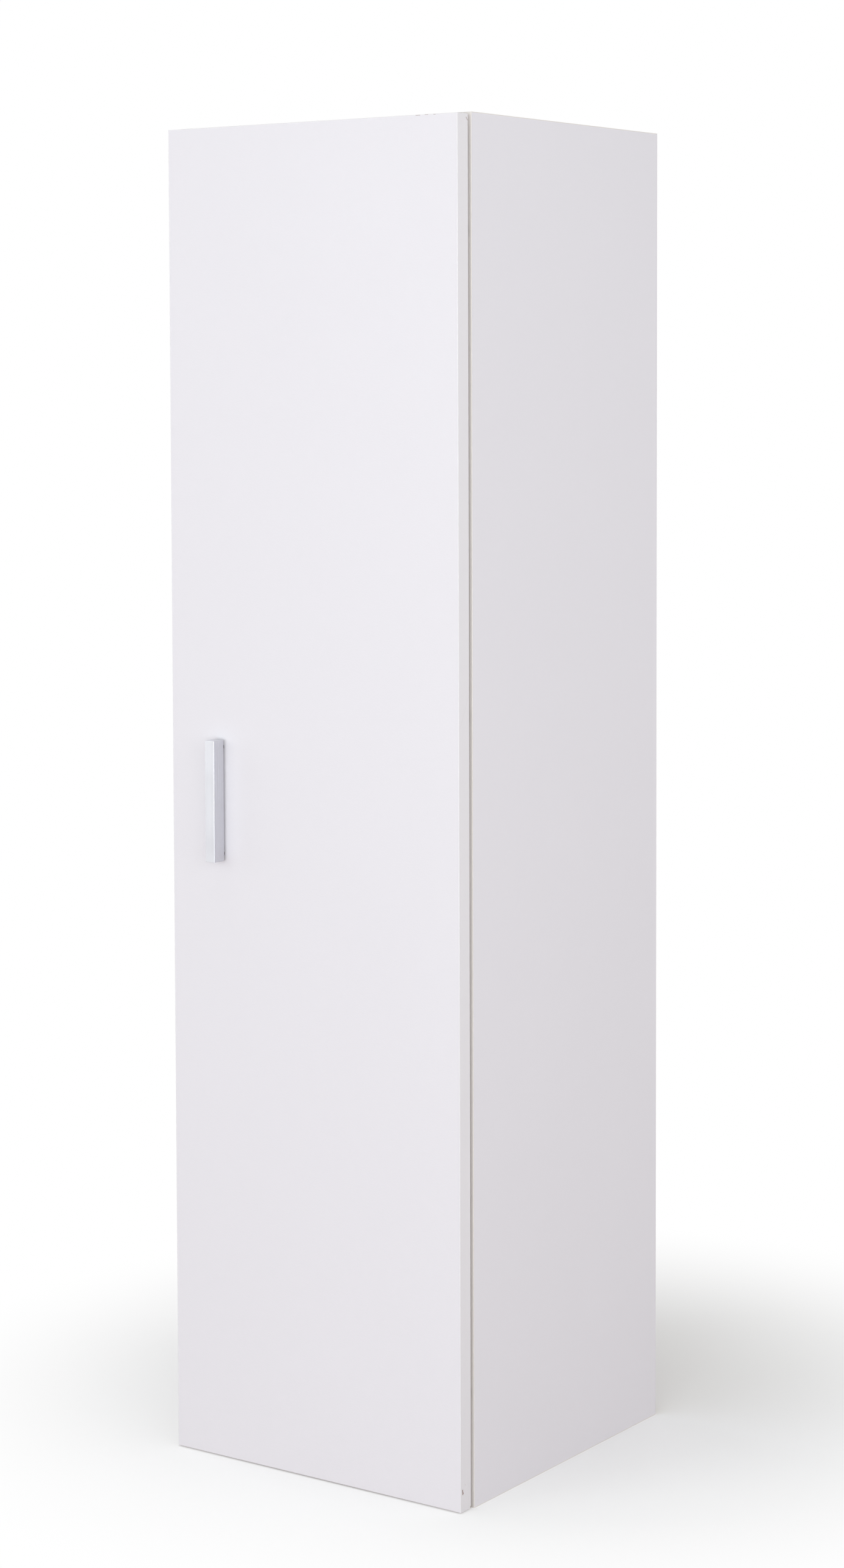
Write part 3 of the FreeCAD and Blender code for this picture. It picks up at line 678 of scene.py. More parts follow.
@dataclass(frozen=True)
class BandFinish(Finish):
    """Thin plastic edge band, satin, with a faint drift of tone and worn places that show the core."""

    tone: Colour = (0.850, 0.842, 0.868)
    bare: Colour = (0.30, 0.20, 0.17)
    worn: bool = False
    shades: Pair = (0.98, 1.01)
    clouds: Noise = Noise(7.0, 4.0, 0.6)
    pebble: Noise = Noise(1100.0, 1.5)
    relief: float = 0.00003
    polish: Noise = Noise(30.0, 3.0)
    gloss: Pair = (0.30, 0.38)
    ragged: Noise = Noise(1600.0, 2.0)
    raggedness: float = 0.5
    wear_range: Pair = (0.04, 0.62)

    def dress(self, graph: Graph) -> None:
        """The band's tone, darkened where the piece's own wear attribute says so.

        Args:
            graph: the nodes of a new material.
        """
        colour = graph.toned(graph.noise(self.clouds), self.tone, *self.shades)
        if self.worn:
            wear = graph.add("ShaderNodeAttribute", {}, attribute_name=WEAR).outputs["Fac"]
            ragged = graph.math("MULTIPLY", graph.noise(self.ragged), self.raggedness)
            left = graph.math("SUBTRACT", wear, graph.math("MULTIPLY", ragged, wear))
            colour = graph.mixed(graph.span(left, *self.wear_range), colour, self.bare)
        graph.shade(
            Base_Color=colour,
            Roughness=graph.spread(graph.noise(self.polish), *self.gloss),
            Normal=graph.bumped(graph.noise(self.pebble), self.relief),
        )


@dataclass(frozen=True)
class HardboardFinish(Finish):
    """Thin hardboard: white lacquer on its front face, brown with a pressed screen mark behind."""

    front: float
    white: Colour = (0.825, 0.818, 0.835)
    white_shades: Pair = (0.985, 1.01)
    brown: Colour = (0.33, 0.205, 0.115)
    brown_shades: Pair = (0.72, 1.25)
    skin: float = 0.0002
    relief: float = 0.00018
    specular: float = 0.35
    lacquer_roughness: float = 0.46
    fibre_dullness: float = 0.34
    clouds: Noise = Noise(4.0, 3.0)
    fibres: Noise = Noise(260.0, 6.0, 0.7)
    fibre_relief: float = 0.3
    screen: float = 190.0
    screen_range: Pair = (0.1, 0.8)
    screen_shade: float = 0.8

    def dress(self, graph: Graph) -> None:
        """White near the front face, fibrous brown elsewhere.

        Args:
            graph: the nodes of a new material.
        """
        behind = graph.math("GREATER_THAN", graph.along(Axis.Y), self.front + self.skin)
        fibres = graph.noise(self.fibres)
        screen = graph.math("MULTIPLY", *(graph.wave(self.screen, axis) for axis in (Axis.X, Axis.Z)))
        brown = graph.toned(graph.spread(fibres), self.brown, *self.brown_shades)
        pressed = scaled(self.brown, self.screen_shade)
        brown = graph.mixed(graph.span(screen, *self.screen_range), brown, pressed)
        white = graph.toned(graph.noise(self.clouds), self.white, *self.white_shades)
        mesh = graph.math("MULTIPLY", screen, behind)
        height = graph.math("ADD", mesh, graph.math("MULTIPLY", fibres, self.fibre_relief))
        dull = graph.math("MULTIPLY", behind, self.fibre_dullness)
        graph.shade(
            Base_Color=graph.mixed(behind, white, brown),
            Roughness=graph.math("ADD", dull, self.lacquer_roughness),
            Normal=graph.bumped(height, self.relief),
            Specular_IOR_Level=self.specular,
        )


@dataclass(frozen=True)
class GrainedMetalFinish(Finish):
    """Metal whose fine grain runs one way: anodised aluminium, rolled strip."""

    tone: Colour
    roughness: float
    grain: Triple
    relief: float = 0.00002
    drift: float = 0.08
    lines: Noise = Noise(1.0, 4.0, 0.6)
    clouds: Noise = Noise(40.0, 3.0)
    summed_range: Pair = (0.6, 1.4)

    def dress(self, graph: Graph) -> None:
        """Noise stretched along the grain, in tone, gloss and relief.

        Args:
            graph: the nodes of a new material.
        """
        half = self.drift / 2
        gloss = (self.roughness - half, self.roughness + self.drift)
        lines = graph.noise(self.lines, graph.stretched(self.grain))
        summed = graph.math("ADD", lines, graph.noise(self.clouds))
        graph.shade(
            Base_Color=graph.toned(graph.spread(lines), self.tone, 1.0 - half, 1.0),
            Metallic=1.0,
            Roughness=graph.span(summed, *self.summed_range, *gloss),
            Normal=graph.bumped(lines, self.relief),
        )


@dataclass(frozen=True)
class PlatedMetalFinish(Finish):
    """Plated, cast or tumbled metal with a fine even unevenness."""

    tone: Colour
    roughness: float
    pits: Noise = Noise(900.0, 3.0, 0.6)
    relief: float = 0.00003
    clouds: Noise = Noise(120.0, 3.0)
    shades: Pair = (0.9, 1.05)
    drift: Pair = (-0.05, 0.08)

    def dress(self, graph: Graph) -> None:
        """Pitted relief, with gloss and tone that drift a little.

        Args:
            graph: the nodes of a new material.
        """
        clouds = graph.noise(self.clouds)
        gloss = (self.roughness + change for change in self.drift)
        graph.shade(
            Base_Color=graph.toned(graph.spread(clouds), self.tone, *self.shades),
            Metallic=1.0,
            Roughness=graph.spread(clouds, *gloss),
            Normal=graph.bumped(graph.noise(self.pits), self.relief),
        )


@dataclass(frozen=True)
class BeechFinish(Finish):
    """Raw beech, grained along X, with short dark rays."""

    tone: Colour = (0.62, 0.44, 0.27)
    shades: Pair = (0.7, 1.0)
    grain: Triple = (120.0, 2600.0, 2600.0)
    rays: Noise = Noise(1.0, 4.0, 0.6)
    ray_range: Pair = (0.35, 0.65)
    roughness: float = 0.72
    relief: float = 0.00004

    def dress(self, graph: Graph) -> None:
        """Noise stretched along the dowels.

        Args:
            graph: the nodes of a new material.
        """
        rays = graph.noise(self.rays, graph.stretched(self.grain))
        colour = graph.toned(graph.span(rays, *self.ray_range), self.tone, *self.shades)
        graph.shade(Base_Color=colour, Roughness=self.roughness, Normal=graph.bumped(rays, self.relief))


@dataclass(frozen=True)
class PlasticFinish(Finish):
    """Moulded plastic or soft pad."""

    tone: Colour
    roughness: float
    clear: float = 0.0
    shades: Pair = (0.9, 1.05)
    drift: float = 0.06
    clouds: Noise = Noise(300.0)
    skin: Noise = Noise(1500.0)
    relief: float = 0.00002

    def dress(self, graph: Graph) -> None:
        """A fine moulded texture; a clear pad lets light through.

        Args:
            graph: the nodes of a new material.
        """
        skin = graph.noise(self.skin)
        graph.shade(
            Base_Color=graph.toned(graph.noise(self.clouds), self.tone, *self.shades),
            Roughness=graph.spread(skin, self.roughness - self.drift, self.roughness + self.drift),
            Transmission_Weight=self.clear,
            Normal=graph.bumped(skin, self.relief),
        )


WORN_BAND = BandFinish("finish_worn_band", worn=True)
PLAIN_FINISHES: dict[Slot, Finish] = {
    # The carcass bands' cream tone is partly the band's own off-white and partly painted warm bounce light,
    # the warm interreflected glow seen in the shaded gap beside the door
    Slot.BAND: BandFinish("finish_cream_band_painted_warm_bounce", tone=(0.805, 0.77, 0.735)),
    Slot.BEECH: BeechFinish("finish_beech"),
    Slot.ZINC: PlatedMetalFinish(
        "finish_zinc", tone=(0.50, 0.505, 0.515), roughness=0.46, pits=Noise(500.0, 3.0, 0.6), relief=0.00008
    ),
    Slot.BRIGHT_STEEL: PlatedMetalFinish("finish_bright_steel", tone=(0.64, 0.64, 0.65), roughness=0.24),
    Slot.NICKEL: GrainedMetalFinish(
        "finish_nickel",
        tone=(0.66, 0.645, 0.615),
        roughness=0.24,
        grain=(90.0, 1400.0, 1400.0),
        relief=0.000006,
        drift=0.05,
    ),
    Slot.SPRING: GrainedMetalFinish(
        "finish_spring", tone=(0.40, 0.40, 0.42), roughness=0.32, grain=(900.0, 900.0, 60.0)
    ),
    Slot.ALUMINIUM: GrainedMetalFinish(
        "finish_satin_aluminium", tone=(0.668, 0.667, 0.7), roughness=0.33, grain=(2600.0, 2600.0, 7.0)
    ),
    Slot.SPACER: PlasticFinish("finish_dark_plastic", tone=(0.055, 0.05, 0.05), roughness=0.55),
    Slot.BUMPER: PlasticFinish("finish_clear_pad", tone=(0.86, 0.87, 0.88), roughness=0.3, clear=0.75),
}


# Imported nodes, and pieces that stand for them


@dataclass(frozen=True)
class Box:
    """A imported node's box."""

    low: Array
    high: Array

    @classmethod
    def of(cls, node: str) -> Box:
        """The box of a node at rest."""
        low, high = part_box(node)
        return cls(np.array(low), np.array(high))

    @property
    def middle(self) -> Array:
        """Its centre."""
        return (self.low + self.high) / 2

    @property
    def size(self) -> Array:
        """Its three sizes."""
        return self.high - self.low


@dataclass
class PackedNodes:
    """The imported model's own objects, which keep their shapes."""

    objects: dict[str, bpy.types.Object]
    record: dict

    def dress(self) -> None:
        """Gives every node the finish of its slot; a board's follows its own box."""
        for row in self.record["subparts"]:
            node = row["node"]
            finish = self.finish_of(node, Slot(row["material_slot"]))
            for place in self.objects[node].material_slots:
                place.material = finish.material()
            LOG.info("packed node %s: %s", node, finish.name)

    @staticmethod
    def finish_of(node: str, slot: Slot) -> Finish:
        """The finish of one node.

        Args:
            node: its name.
            slot: its material slot.

        Returns:
            The finish.
        """
        box = Box.of(node)
        if slot is Slot.BOARD:
            across = Axis(int(np.argmin(box.size)))
            return BoardFinish(f"finish_{node}", across, box.low[across.value], box.high[across.value])
        if slot is Slot.HARDBOARD:
            return HardboardFinish(f"finish_{node}", box.low[Axis.Y.value])
        return PLAIN_FINISHES[slot]


@dataclass
class Piece:
    """A new piece: its surfaces, its body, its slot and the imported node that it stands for.

    Its finish is the slot's own where no other is given.
    """

    name: str
    shells: list[Shell]
    body: Body
    slot: Slot
    stands_for: str
    finish: Finish | None = None

    def mesh(self) -> bpy.types.Mesh:
        """Puts the surfaces into one mesh, smooth but for its sharp edges and flat ends.

        Returns:
            The mesh, with the wear of its points as an attribute where its surfaces have it.
        """
        starts = np.cumsum([0] + [len(shell.points) for shell in self.shells[:-1]])
        numbered = [rows + start for start, shell in zip(starts, self.shells) for rows in shell.faces]
        smooth = np.concatenate([np.full(len(rows), rows.shape[1] <= QUAD) for rows in numbered])
        points = np.concatenate([shell.points for shell in self.shells])
        mesh = bpy.data.meshes.new(self.name)
        mesh.from_pydata(points.tolist(), [], [row for rows in numbered for row in rows.tolist()])
        mesh.polygons.foreach_set("use_smooth", smooth)
        mesh.set_sharp_from_angle(angle=SHARP_EDGE)
        wear = [shell.wear for shell in self.shells if shell.wear is not None]
        if wear:
            mesh.attributes.new(WEAR, "FLOAT", "POINT").data.foreach_set("value", np.concatenate(wear))
        return mesh

    def show(self) -> None:
        """Dresses the piece and puts it into the scene as one object at the origin."""
        mesh = self.mesh()
        finish = self.finish or PLAIN_FINISHES[self.slot]
        mesh.materials.append(finish.material())
        piece = bpy.data.objects.new(self.name, mesh)
        bpy.context.scene.collection.objects.link(piece)
        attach(piece, self.body.value)
        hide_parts(self.stands_for)
        LOG.info("piece %s: %d faces, rides on %s", self.name, len(mesh.polygons), self.body.value)


# Door


@dataclass(frozen=True)
class Mark:
    """A worn place on an edge band: a line that fades out over its width.

    Its two ends are (along, across): along the band in the frame's own coordinate, across from the door's
    front.
    """

    start: Pair
    end: Pair
    width: float
    darkness: float
    depth: float

    def share(self, along: Array, across: Array) -> Array:
        """One on the line, falling smoothly to nothing at the mark's width from it.

        Args:
            along: places along the band.
            across: places across it, in the same shape.

        Returns:
            The mark's share at each place.
        """
        start = np.array(self.start)
        run = np.array(self.end) - start
        offset = np.stack([along, across], axis=-1) - start
        part = np.clip(offset @ run / (run @ run), 0.0, 1.0)
        distance = np.linalg.norm(offset - part[..., None] * run, axis=-1)
        return 1.0 - smooth_step(distance, 0.0, self.width)


@dataclass
class DoorBands:
    """The edge bands on the door's four edges, with rounded arrises and the wear of use."""

    thickness: float = 0.0006
    arris: float = 0.0005
    arc: int = 6
    across_step: float = 0.0004
    coarse_step: float = 0.04
    fine_step: float = 0.00035
    margin: float = 0.003
    dent_limit: float = 0.9
    right_marks: tuple[Mark, ...] = (
        Mark((-0.4369, 0.0156), (-0.4658, 0.0014), 0.0007, 0.20, 0.00006),
        Mark((-1.1240, 0.0032), (-1.1277, 0.0036), 0.0011, 1.0, 0.0004),
        Mark((-1.1264, 0.0040), (-1.1270, 0.0046), 0.0008, 0.8, 0.0003),
        Mark((-1.1199, 0.0067), (-1.1204, 0.0074), 0.0008, 0.34, 0.0001),
        Mark((-1.1317, 0.0126), (-1.1351, 0.0116), 0.0007, 0.24, 0.0001),
        Mark((-1.1418, 0.0155), (-1.1432, 0.0151), 0.0014, 0.55, 0.0004),
        Mark((0.0510, 0.0132), (0.0486, 0.0152), 0.0009, 0.62, 0.0002),
        Mark((0.0471, 0.0153), (0.0440, 0.0152), 0.0007, 0.28, 0.0001),
        Mark((0.0420, 0.0153), (0.0380, 0.0152), 0.0007, 0.22, 0.0001),
        Mark((0.0350, 0.0152), (0.0318, 0.0152), 0.0006, 0.16, 0.0001),
    )
    top_marks: tuple[Mark, ...] = (
        Mark((0.1140, 0.0002), (0.1182, 0.0002), 0.0007, 0.62, 0.0003),
        Mark((0.1234, 0.0002), (0.1264, 0.0002), 0.0007, 0.55, 0.0003),
        Mark((0.1322, 0.0002), (0.1340, 0.0002), 0.0007, 0.60, 0.0003),
    )

    def build(self) -> list[Piece]:
        """Two uprights over the door's full height, and a band between them at the top and the bottom.

        Returns:
            The piece with all four.
        """
        box = Box.of("door_edge_bands")
        front, wide = box.low[1], box.size[1]
        inner_left, _, inner_bottom = box.low + self.thickness
        inner_right, _, inner_top = box.high - self.thickness
        upright = (box.low[2], box.high[2])
        level = (inner_left, inner_right)
        edges = (
            (upright, self.right_marks, (inner_right, front, 0.0), (EZ, EY, EX)),
            (upright, (), (inner_left, front, 0.0), (EZ, EY, -EX)),
            (level, self.top_marks, (0.0, front, inner_top), (EX, EY, EZ)),
            (level, (), (0.0, front, inner_bottom), (EX, EY, -EZ)),
        )
        shells = [self.band(ends, wide, marks).placed(place, axes) for ends, marks, place, axes in edges]
        return [Piece("door_band_set", shells, Body.DOOR, Slot.BAND, "door_edge_bands", WORN_BAND)]

    def band(self, ends: Pair, wide: float, marks: tuple[Mark, ...]) -> Shell:
        """One band, its own axes along, across and outwards.

        A ring is the band's outer face with a quarter circle at each arris, closed by its flat inner face.
        The rings stand closer where a mark is, and a mark presses its depth into the outer face.

        Args:
            ends: where it starts and ends, along itself.
            wide: its width.
            marks: its worn places.

        Returns:
            The surface, with its wear.
        """
        inset, level = quarter_round(self.arris, self.arc)
        near = np.stack([level, self.thickness - inset], axis=-1)
        far = near[::-1] * (-1.0, 1.0) + (wide, 0.0)
        middle = np.linspace(self.arris, wide - self.arris, int(wide / self.across_step))[1:-1]
        flat = np.stack([middle, np.full_like(middle, self.thickness)], axis=-1)
        profile = np.concatenate([[(0.0, 0.0)], near, flat, far, [(wide, 0.0)]])
        along, across = np.meshgrid(self.stations(*ends, marks), profile[:, 0], indexing="ij")
        wear = np.zeros_like(along)
        dent = np.zeros_like(along)
        for mark in marks:
            share = mark.share(along, across)
            wear = np.maximum(wear, share * mark.darkness)
            dent = np.maximum(dent, share * mark.depth)
        outwards = profile[:, 1] - np.minimum(dent, self.dent_limit * profile[:, 1])
        shell = tube(np.stack([along, across, outwards], axis=-1))
        shell.wear = wear.ravel()
        return shell

    def stations(self, start: float, end: float, marks: tuple[Mark, ...]) -> Array:
        """Places of a band's rings: whole fine steps round each mark, and coarse steps elsewhere.

        Args:
            start: where the band starts.
            end: where it ends.
            marks: its worn places.

        Returns:
            The places in order, none closer than about half a fine step.
        """
        step = self.fine_step
        counts = [np.zeros(0, int)]
        for mark in marks:
            first, last = sorted((mark.start[0], mark.end[0]))
            counts.append(np.arange(round((first - self.margin) / step), round((last + self.margin) / step)))
        fine = np.unique(np.concatenate(counts)) * step
        fine = fine[(fine > start + step / 2) & (fine < end - step / 2)]
        coarse = np.linspace(start, end, int((end - start) / self.coarse_step) + 1)
        inner = coarse[1:-1]
        if len(fine):
            inner = inner[np.min(np.abs(inner[:, None] - fine), axis=1) > step / 2]
        return np.sort(np.concatenate([coarse[[0, -1]], inner, fine]))


class Drive(Enum):
    """Driver recesses, by their number of arms."""

    SLOT = 1
    CROSS = 2


@dataclass(frozen=True)
class Recess:
    """A driver recess in a round head; its sizes are shares of the head's radius."""

    drive: Drive = Drive.CROSS
    reach: float = 0.66
    fade: float = 0.12
    arm: float = 0.15
    slope: Pair = (0.7, 1.5)

    def share(self, across: Array, angle: Array) -> Array:
        """How deep the recess is: full within an arm, none beyond its reach.

        Args:
            across: radii of the head's rings, as shares of its own.
            angle: angles of their points.

        Returns:
            A share of the recess's depth for each radius and angle.
        """
        offsets = [np.abs(across[:, None] * np.sin(angle)), np.abs(across[:, None] * np.cos(angle))]
        offset = np.min(offsets[: self.drive.value], axis=0)
        near, far = self.slope
        inside = 1.0 - smooth_step(offset, near * self.arm, far * self.arm)
        reached = 1.0 - smooth_step(across, self.reach - self.fade, self.reach)
        return inside * reached[:, None]


@dataclass(frozen=True)
class Thread:
    """A pointed thread about its own third axis, from its point up to level 0."""

    radius: float
    length: float
    pitch: float = 0.0011
    depth: float = 0.0004
    steps: int = 5
    tip: float = 0.1

    def rings(self, angle: Array) -> tuple[Array, Array]:
        """The radius less the depth times a triangle wave of level over pitch plus angle over a turn.

        Args:
            angle: angles of a ring's points.

        Returns:
            Radii and levels, one row for each ring.
        """
        level = np.arange(-self.length, -self.pitch / 2, self.pitch / self.steps)
        wave = np.abs((level[:, None] / self.pitch + angle / FULL_TURN) % 1.0 * 2.0 - 1.0)
        point = np.clip((level + self.length) / (2.0 * self.radius) + self.tip, 0.0, 1.0)
        radius = (self.radius - self.depth * wave) * point[:, None]
        return radius, np.broadcast_to(level[:, None], radius.shape)

    def topped(self, side: Array, face_radii: Array, face: Array) -> Shell:
        """The thread with plain rings and a driven face above it, in one surface of revolution.

        Args:
            side: radius and level of each plain ring, from the thread up.
            face_radii: the radius of each of the face's rings.
            face: their levels, a row of values for the angles of each.

        Returns:
            The surface.
        """
        segments = face.shape[1]
        radius, level = self.rings(even_angles(segments))
        plain = np.concatenate([side[:, 0], face_radii])[:, None]
        radius = np.concatenate([radius, np.repeat(plain, segments, axis=1)])
        level = np.concatenate([level, np.repeat(side[:, 1:], segments, axis=1), face])
        return turned(radius, level, segments)


@dataclass(frozen=True)
class Screw:
    """A screw in one surface, from its point over thread and head to the recess's floor.

    The recess's depth and the rim are shares of the head's height. The rim's ease and the ends of the dome's
    rings are shares of its radius.
    """

    head_radius: float
    head_height: float
    thread: Thread
    recess: Recess = Recess()
    recess_depth: float = 0.72
    rim: float = 0.42
    rim_ease: float = 0.08
    dome_span: Pair = (0.99, 0.03)
    dome_rings: int = 18
    segments: int = 48

    def shell(self) -> Shell:
        """The screw about its own third axis: the head stands up from level 0, the thread goes down.

        The head's dome is rim + rise (1 - (r / R)^2), lowered where the recess is.

        Returns:
            The surface.
        """
        wide, rim = self.head_radius, self.rim * self.head_height
        ease = self.rim_ease * wide
        core = self.thread.radius - self.thread.depth
        side = np.array([(core, 0.0), (wide - ease, 0.0), (wide, ease), (wide, rim)])
        across = np.linspace(*self.dome_span, self.dome_rings)
        dome = rim + (self.head_height - rim) * (1.0 - across ** 2)
        sunk = self.recess_depth * self.head_height * self.recess.share(across, even_angles(self.segments))
        return self.thread.topped(side, across * wide, dome[:, None] - sunk)


@dataclass
class BarHandle:
    """The square bar on the door, its spacers and its screws."""

    corner: float = 0.0003
    end_ease: float = 0.0002
    point_step: float = 0.0002
    groove_depth: float = 0.00010
    groove_width: float = 0.0005
    grooves: tuple[float, ...] = (0.2, 0.42, 0.64, 0.84)
    side_tolerance: float = 1e-6
    overhang: float = 0.0065
    spacer_bore: float = 0.0021
    spacer_ease: float = 0.0003
    screw: Screw = Screw(
        head_radius=0.0042,
        head_height=0.0026,
        thread=Thread(radius=0.0020, length=0.0260, pitch=0.0008, depth=0.00025),
    )

    def build(self) -> list[Piece]:
        """The bar, and a spacer before and a screw behind the door near each of its ends.

        Returns:
            The three pieces.
        """
        bar, rings = Box.of("handle_bar"), Box.of("handle_spacers")
        door_back = Box.of("door_panel").high[1]
        middle = bar.middle[0]
        heights = (bar.low[2] + self.overhang, bar.high[2] - self.overhang)
        screw = self.screw.shell()
        spacer = bored_ring(self.spacer_bore, rings.size[0] / 2, (0.0, rings.size[1]), self.spacer_ease)
        screws = [screw.placed((middle, door_back, height), TO_BACK) for height in heights]
        spacers = [spacer.placed((middle, bar.high[1], height), TO_BACK) for height in heights]
        return [
            Piece("bar_handle", [self.bar(bar)], Body.DOOR, Slot.ALUMINIUM, "handle_bar"),
            Piece("handle_spacer_rings", spacers, Body.DOOR, Slot.SPACER, "handle_spacers"),
            Piece("handle_machine_screws", screws, Body.DOOR, Slot.BRIGHT_STEEL, "handle_screws"),
        ]

    def bar(self, box: Box) -> Shell:
        """The bar: its section carried up its length, with eased ends.

        The section is a rounded rectangle whose two sides sink by depth * exp(-((y - groove) / width)^2) at
        each drawing line.

        Args:
            box: the bar's box.

        Returns:
            The surface.
        """
        width, depth, length = box.size
        section = densified(rounded_outline(width, depth, self.corner), self.point_step)
        sides = np.abs(section[:, 0]) > width / 2 - self.side_tolerance
        centres = (np.array(self.grooves) - 0.5) * depth
        dips = np.exp(-(((section[:, 1:] - centres) / self.groove_width) ** 2))
        sunk = self.groove_depth * dips.sum(axis=1)
        section[:, 0] -= np.sign(section[:, 0]) * sunk * sides
        return slab(section, length, self.end_ease).placed((*box.middle[:2], box.low[2]), UNTURNED)


@dataclass
class DoorBumpers:
    """Two soft clear domes on the door's back, near its free edge."""

    skirt: float = 0.42
    crown: float = np.radians(86.0)
    rings: int = 9

    def build(self) -> list[Piece]:
        """Both domes: a short upright skirt, then a quarter of an ellipse turned about the axis.

        Returns:
            The piece with both.
        """
        box = Box.of("door_bumpers")
        radius = box.size[0] / 2
        height = box.size[1]
        turn = np.linspace(0.0, self.crown, self.rings)
        rise = self.skirt * height
        level = np.concatenate([[0.0], rise + (height - rise) * np.sin(turn)])
        dome = turned(np.concatenate([[radius], radius * np.cos(turn)]), level)
        heights = (box.low[2] + radius, box.high[2] - radius)
        shells = [dome.placed((box.middle[0], box.low[1], z), TO_BACK) for z in heights]
        return [Piece("door_bumper_domes", shells, Body.DOOR, Slot.BUMPER, "door_bumpers")]


# Shelves


@dataclass
class ShelfBrackets:
    """The four bent steel brackets under one loose shelf, each with a peg in the side panel."""

    node: str
    name: str
    metal: float = 0.0015
    width: float = 0.0080
    bend: float = 0.0013
    tongue: float = 0.0090
    ease: float = 0.0003
    peg_radius: float = 0.0025
    peg_below: float = 0.0040
    peg_taper: tuple[float, ...] = (1.0, 1.0, 0.9, 0.7)
    peg_segments: int = 32

    def build(self) -> list[Piece]:
        """A bracket and its peg at the front and the back of each side.

        Returns:
            The piece with all four.
        """
        box = Box.of(self.node)
        face = Box.of("right_side_panel").low[0]
        height = box.size[2]
        bent, peg = self.bent(height), self.peg(box.high[0] - face)
        shells = []
        for side in (-1.0, 1.0):
            for y in (box.low[1] + self.width / 2, box.high[1] - self.width / 2):
                foot = np.array([side * face, y, box.low[2]])
                shells.append(bent.placed(foot, (-side * EX, EZ, EY)))
                shells.append(peg.placed(foot + EZ * (height - self.peg_below), (EY, EZ, side * EX)))
        return [Piece(self.name, shells, Body.CARCASS, Slot.BRIGHT_STEEL, self.node)]

    def bent(self, height: float) -> Shell:
        """The bracket: a strip up the side panel's face, then level under the shelf.

        Args:
            height: how far it reaches up.

        Returns:
            The surface; its own axes are away from the panel, up and along it.
        """
        half = self.metal / 2
        corners = [(half, 0.0), (half, height - half), (self.tongue, height - half)]
        return strip(bent_path(corners, self.bend), self.metal, self.width, self.ease)

    def peg(self, length: float) -> Shell:
        """The peg: a cylinder with a tapered tip, turned about its axis.

        Args:
            length: how far it goes into the panel.

        Returns:
            The surface, from half way through the bracket.
        """
        tip = self.peg_radius / 2
        level = np.array([-self.metal / 2, length - tip, length - tip / 3, length])
        return turned(self.peg_radius * np.array(self.peg_taper), level, self.peg_segments)


# Hinges


class HingeLevel(Enum):
    """The door's hinges."""

    UPPER = "upper"
    MIDDLE = "middle"
    LOWER = "lower"

    def node(self, part: str) -> str:
        """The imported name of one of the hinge's parts."""
        return f"{self.value}_hinge_{part}"


